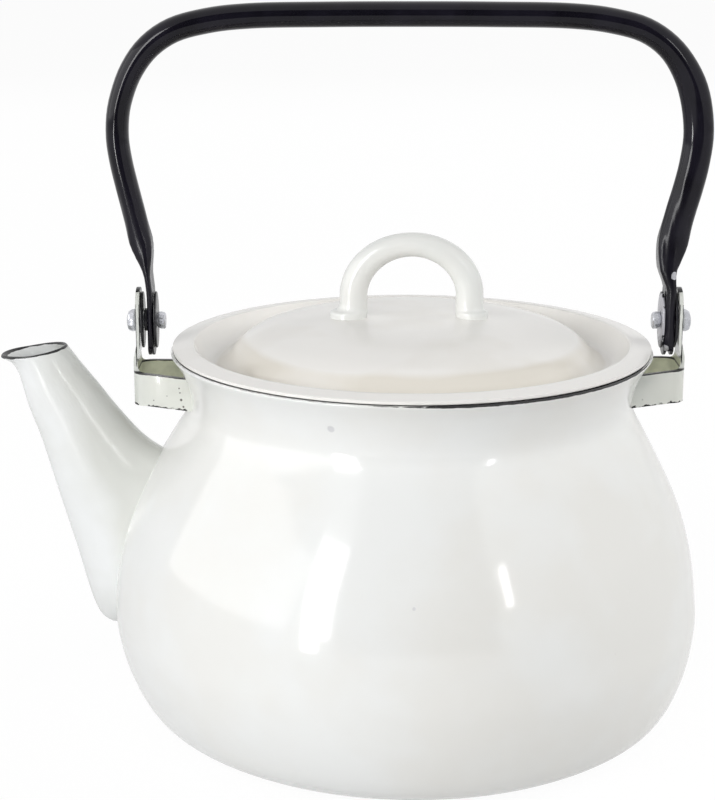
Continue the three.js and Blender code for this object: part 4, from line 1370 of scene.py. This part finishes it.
class TEAPOT_OT_pivots(bpy.types.Operator):
    """Make the friction leaves, the spacer washer and the rivets"""

    bl_idname = "teapot.pivots"
    bl_label = "Pivots"

    def execute(self, context):
        sizes = context.scene.teapot_brackets
        ear_inner = sizes.reach - sizes.ear_set_in - sizes.sheet
        outer_leaf = ear_inner - sizes.clearance - sizes.leaf
        inner_leaf = ear_inner - sizes.stack
        leaf_black = context.scene.teapot_finishes.leaf_black
        black = black_enamel("leaf_black_enamel", leaf_black, roughness=0.22, mirror=0.3)
        worn_place = (inner_leaf + sizes.offset, 0, sizes.pivot_height + 1 * MM)
        worn = black_enamel("leaf_worn_enamel", leaf_black, roughness=0.22, mirror=0.3,
                            chips=[(worn_place, LEAF_CHIP_RADIUS)])
        steel = hammered_steel()
        for side, sign in (("left", -1), ("right", 1)):
            for which, at in (("outer", outer_leaf), ("inner", inner_leaf)):
                leaf = self.leaf(f"leaf_{which}_{side}", sign * at, sign * sizes.leaf,
                                 sizes.leaf_half_width, sizes.leaf_half_height, LEAF_FACETS)
                enamel = worn if (side, which) == ("right", "inner") else black
                finish_piece(leaf, f"friction_leaf_{which}_{side}", "pot", "leaf_black", enamel)
            rivet = self.rivet(f"rivet_{side}_turned", sign, inner_leaf - sizes.clearance)
            finish_piece(rivet, f"rivet_{side}", "pot", "rivet_steel", steel, angle=22)
        at, half_width = outer_leaf - sizes.clearance - sizes.spacer, sizes.spacer_width / 2
        spacer = self.leaf("spacer_turned", -at, -sizes.spacer, half_width, half_width,
                           SMALL_FACETS)
        finish_piece(spacer, "spacer_washer_left", "pot", "leaf_black", black)
        return {'FINISHED'}

    @staticmethod
    def leaf(name, at, thickness, half_width, half_height, facets):
        """An upright oval or round sheet with the rivet's hole, drawn out from at along X."""
        sizes = bpy.context.scene.teapot_brackets
        middle = (at + sizes.offset, 0, sizes.pivot_height)
        outline = [
            (middle[0], half_width * y, sizes.pivot_height + half_height * z)
            for y, z in arc(0, 0, 1, 0, 2 * math.pi, facets)[:-1]
        ]
        leaf = plate(name, outline, (thickness, 0, 0))
        pierce(leaf, middle, SPARE)
        round_edges(leaf, LEAF_ROUND, segments=2)
        return leaf

    @staticmethod
    def rivet(name, sign, seat):
        """A rivet with its hammered inner head, its shank and its domed outer head."""
        sizes = bpy.context.scene.teapot_brackets
        dome_seat = sizes.reach - sizes.ear_set_in + sizes.clearance
        inner, shank, outer = sizes.inner_width / 2, sizes.shank / 2, sizes.dome_width / 2
        profile = [
            (inner * wide, seat - sizes.inner_height * high) for wide, high in RIVET_HEAD_SHARES
        ]
        profile += [(shank, seat), (shank, dome_seat)]
        profile += [
            (outer * wide, dome_seat + sizes.dome_height * high)
            for wide, high in RIVET_DOME_SHARES
        ]

        def slant(height):
            """The hammered heads hang down towards their ends."""
            return sign * RIVET_HANG_SHARE * max(height - dome_seat, seat - height, 0)

        rivet = turned(name, profile, RIVET_FACETS, slant)
        move_piece(rivet, (sizes.offset, 0, sizes.pivot_height), -sign * math.pi / 2, 'Y')
        return rivet


class TEAPOT_OT_bail(bpy.types.Operator):
    """Make the bail: one tube, bowed, with both ends hammered flat"""

    bl_idname = "teapot.bail"
    bl_label = "Bail"

    def execute(self, context):
        sizes = context.scene.teapot_bail
        brackets = context.scene.teapot_brackets
        finishes = context.scene.teapot_finishes
        left = {
            "sign": -1, "blade": sizes.blade_outer_left - sizes.blade_inner,
            "half_width": sizes.left_half_width, "shares": ARM_SHARES_LEFT,
            "thickness": sizes.left_thickness, "depth": sizes.left_depth,
            "blade_end": sizes.blade_end_left,
        }
        right = {
            "sign": 1, "blade": sizes.blade_outer_right - sizes.blade_inner,
            "half_width": sizes.right_half_width, "shares": ARM_SHARES_RIGHT,
            "thickness": sizes.right_thickness, "depth": sizes.right_depth,
            "blade_end": sizes.blade_end_right,
        }
        pivot = brackets.pivot_height
        path = [*self.side(left, pivot), Vector((0, 0, pivot + sizes.rise)),
                *reversed(self.side(right, pivot))]
        points = spaced_points(path, BAIL_RINGS, False)
        sections = []
        for ring, middle in enumerate(points):
            before, after = points[max(ring - 1, 0)], points[min(ring + 1, BAIL_RINGS)]
            run = after - before
            arm = left if middle.x < 0 else right
            half_run, half_depth, limit = self.section(arm, (middle.z - pivot) / sizes.rise)
            sections.append((middle + Vector((brackets.offset, 0, 0)),
                             math.atan2(-run.x, run.z), half_run, half_depth, limit))
        bail = swept("bail_tube", sections, BAIL_FACETS, open_ends=False)
        cutter = self.tip_cutter(pivot)
        for arm in (left, right):
            work(cutter, self.slot_cutter(arm, pivot), 'UNION')
        work(bail, cutter)
        pierce(bail, (0, 0, pivot), 2 * brackets.reach)
        round_edges(bail, BLADE_ROUND, segments=2, angle=50)
        worked = [pivot + rise * sizes.rise for rise in WORKED_SHARES]
        enamel = black_enamel("bail_black_enamel", finishes.bail_black, roughness=0.09,
                              mirror=0.22, chips=BAIL_CHIPS, worked=worked)
        finish_piece(bail, "bail_handle", "bail", "bail_enamel", enamel)
        return {'FINISHED'}

    @staticmethod
    def side(arm, pivot):
        """The middle of one side of the bail, from below its blade to the top bar."""
        sizes = bpy.context.scene.teapot_bail
        sign, half_width = arm["sign"], arm["half_width"]
        blade = sizes.blade_inner + arm["blade"] / 2
        points = [Vector((sign * blade, 0, pivot - sizes.blade_drop - SPARE)),
                  Vector((sign * blade, 0, pivot))]
        points += [Vector((sign * mix(blade, half_width, out), 0, pivot + rise * sizes.rise))
                   for rise, out in arm["shares"]]
        points += [Vector((sign * out * half_width, 0, pivot + rise * sizes.rise))
                   for rise, out in BAIL_TOP_SHARES]
        return points

    @staticmethod
    def section(arm, rise):
        """Half sizes of the tube at a share of the rise, and where it is pressed flat."""
        sizes = bpy.context.scene.teapot_bail
        full = smooth_step(rise, arm["blade_end"], sizes.arm_start)
        bar = smooth_step(rise, sizes.arm_end, sizes.bar_start)
        limit = mix(mix(arm["blade"], arm["thickness"], full), sizes.bar_thickness, bar) / 2
        depth = mix(mix(sizes.blade_depth, arm["depth"], full), sizes.bar_depth, bar) / 2
        rounded = smooth_step(rise, arm["blade_end"], sizes.arm_start + SWELL_END_SHARE)
        swell = mix(PRESSED_SWELL, 1.0, rounded)
        return limit * swell, depth, limit if swell > ROUND_SWELL else None

    @staticmethod
    def slot_cutter(arm, pivot):
        """The slit that is left of the tube's bore in a flattened end."""
        sizes = bpy.context.scene.teapot_bail
        offset = bpy.context.scene.teapot_brackets.offset
        gap = arm["blade"] - 2 * sizes.wall
        inner = arm["sign"] * (sizes.blade_inner + sizes.wall) + offset
        half = sizes.blade_depth / 2 - 2 * sizes.wall
        top = pivot - sizes.blade_drop + SLIT_HEIGHT
        low = pivot - sizes.blade_drop - SLIT_SPARE
        outline = [(-half, low), (half, low), (half, top), (-half, top)]
        return plate("slit", [(inner, y, z) for y, z in outline], (arm["sign"] * gap, 0, 0))

    @staticmethod
    def tip_cutter(pivot):
        """Everything below the blades' round ends."""
        sizes = bpy.context.scene.teapot_bail
        radius = sizes.blade_depth / 2
        middle = pivot - sizes.blade_drop + radius
        low = middle - radius - 2 * SPARE
        wide = sizes.blade_depth
        outline = [(-wide, low), (wide, low), (wide, middle),
                   *arc(0, middle, radius, 0, -math.pi, TIP_STEPS), (-wide, middle)]
        corners = [(-TRIM_REACH, y, z) for y, z in outline]
        return plate("tip_trim", corners, (2 * TRIM_REACH, 0, 0))


class TEAPOT_OT_stage(bpy.types.Operator):
    """Set up the camera, the pale floor, the room light and the lamps"""

    bl_idname = "teapot.stage"
    bl_label = "Stage"

    def execute(self, context):
        sizes = context.scene.teapot_stage
        scene = context.scene
        scene.view_settings.view_transform = 'Standard'
        clear_selection()
        bpy.ops.object.camera_add(
            location=(sizes.camera_x, sizes.camera_y, sizes.camera_z),
            rotation=(math.pi / 2 - sizes.pitch, 0, 0))
        camera = bpy.context.object
        camera.data.lens = sizes.lens
        camera.data.sensor_width = FILM_WIDTH
        camera.data.clip_start = 10 * MM
        scene.camera = camera
        self.floor(sizes)
        self.card("card_front", size=(1.72, 2.0), place=(0.12, -1.5), grey=0.02)
        self.room(scene, sizes)
        for lamp in LAMPS:
            self.lamp(*lamp)
        return {'FINISHED'}

    @staticmethod
    def lamp(name, azimuth, elevation, distance, width, height, radiance, use):
        """A soft panel that faces the pot. The enamel mirrors it, or else is lit by it."""
        turn, climb = math.radians(azimuth), math.radians(elevation)
        out = Vector((math.sin(turn) * math.cos(climb), -math.cos(turn) * math.cos(climb),
                      math.sin(climb)))
        bpy.ops.object.light_add(type='AREA', location=LAMPS_FACE + out * distance)
        lamp = bpy.context.object
        lamp.name = name
        lamp.rotation_euler = out.to_track_quat('Z', 'Y').to_euler()
        lamp.data.shape = 'RECTANGLE'
        lamp.data.size, lamp.data.size_y = width, height
        lamp.data.energy = radiance * math.pi * width * height
        lamp.visible_camera = False
        lamp.visible_glossy = use == 'MIRRORED'
        lamp.visible_diffuse = use == 'LIT'

    @staticmethod
    def floor(sizes):
        """A pale floor that glows almost white for the camera and keeps the pot's shadow."""
        bpy.ops.mesh.primitive_plane_add(size=sizes.floor)
        floor = bpy.context.object
        floor.name = "floor"
        material, shader, place = new_material("floor_pale")
        tree = place.tree
        spots = ramp(blots(place, size=0.4), *CLOUD_RANGE)
        tone = blend_colours(spots, *((grey,) * 3 for grey in FLOOR_GREYS))
        link_in(tree, shader, {"Base Color": tone, "Roughness": 0.9, "Specular IOR Level": 0.1})
        camera, mirrored, through = ray_kinds(tree)
        part = largest(camera, through, mirrored * MIRRORED_GLOW_SHARE) * GLOW_SHARE
        glow = reading(tree, "Emission", {"Color": (1, 1, 1, 1), "Strength": GLOW_STRENGTH})
        plain = Reading(tree, shader.outputs[0])
        output = next(node for node in tree.nodes if node.type == 'OUTPUT_MATERIAL')
        link_in(tree, output, {0: reading(tree, "MixShader", {0: part, 1: plain, 2: glow})})
        floor.data.materials.append(material)

    @staticmethod
    def card(name, size, place, grey):
        """An upright dark card on the floor, which only the glossy enamel mirrors."""
        bpy.ops.mesh.primitive_plane_add(size=1)
        card = start_piece(name)
        bpy.ops.transform.resize(value=(*size, 1))
        bpy.ops.transform.rotate(value=math.pi / 2, orient_axis='X', center_override=ORIGIN)
        bpy.ops.transform.translate(value=(*place, size[1] / 2))
        bpy.ops.object.mode_set(mode='OBJECT')
        material, shader, coordinates = new_material(f"{name}_paper")
        grain = ramp(blots(coordinates, size=0.02), *CLOUD_RANGE)
        tone = blend_colours(grain, (grey,) * 3, (grey * 1.1,) * 3)
        link_in(coordinates.tree, shader, {
            "Base Color": tone, "Roughness": 1.0, "Specular IOR Level": 0.0})
        card.data.materials.append(material)
        card.visible_camera = card.visible_diffuse = card.visible_transmission = False
        card.visible_shadow = card.visible_volume_scatter = False

    @staticmethod
    def room(scene, sizes):
        """Even room light, seen as pure white by the camera and in reflections."""
        world = bpy.data.worlds.new("studio_room")
        scene.world = world
        world.use_nodes = True
        tree = world.node_tree
        tree.nodes.clear()
        strength = ramp(largest(*ray_kinds(tree)), 0.0, 1.0, start=sizes.world_light)
        background = reading(tree, "Background", {"Color": (1, 1, 1, 1), "Strength": strength})
        knot(tree, "OutputWorld", {0: background})


class TEAPOT_PT_panel(bpy.types.Panel):
    """Lists the pieces and their sizes"""

    bl_idname = "TEAPOT_PT_panel"
    bl_label = "Enamel teapot"
    bl_space_type = 'VIEW_3D'
    bl_region_type = 'UI'
    bl_category = "Teapot"

    def draw(self, context):
        for operator in OPERATORS:
            self.layout.operator(operator.bl_idname)
        for name in SETTINGS:
            box = self.layout.box()
            settings = getattr(context.scene, name)
            box.label(text=settings.bl_rna.description)
            for key in type(settings).__annotations__:
                box.prop(settings, key, text=key.replace("_", " ").capitalize())


SETTINGS = {
    "teapot_pot": PotSizes,
    "teapot_spout": SpoutSizes,
    "teapot_lid": LidSizes,
    "teapot_brackets": BracketSizes,
    "teapot_bail": BailSizes,
    "teapot_finishes": Finishes,
    "teapot_stage": StageSizes,
}
OPERATORS = (
    TEAPOT_OT_stage, TEAPOT_OT_pot, TEAPOT_OT_spout, TEAPOT_OT_lid, TEAPOT_OT_loop,
    TEAPOT_OT_brackets, TEAPOT_OT_pivots, TEAPOT_OT_bail,
)


def register():
    """Registers the settings, operators and panel."""
    for name, settings in SETTINGS.items():
        bpy.utils.register_class(settings)
        setattr(bpy.types.Scene, name, PointerProperty(type=settings))
    for operator in OPERATORS:
        bpy.utils.register_class(operator)
    bpy.utils.register_class(TEAPOT_PT_panel)


def unregister():
    """Removes the settings, operators and panel."""
    bpy.utils.unregister_class(TEAPOT_PT_panel)
    for operator in reversed(OPERATORS):
        bpy.utils.unregister_class(operator)
    for name, settings in reversed(SETTINGS.items()):
        delattr(bpy.types.Scene, name)
        bpy.utils.unregister_class(settings)


def main():
    """Makes the teapot and its stage."""
    register()
    bpy.ops.teapot.stage()
    bpy.ops.teapot.pot()
    bpy.ops.teapot.spout()
    bpy.ops.teapot.lid()
    bpy.ops.teapot.loop()
    bpy.ops.teapot.brackets()
    bpy.ops.teapot.pivots()
    bpy.ops.teapot.bail()


if __name__ == "__main__":
    main()
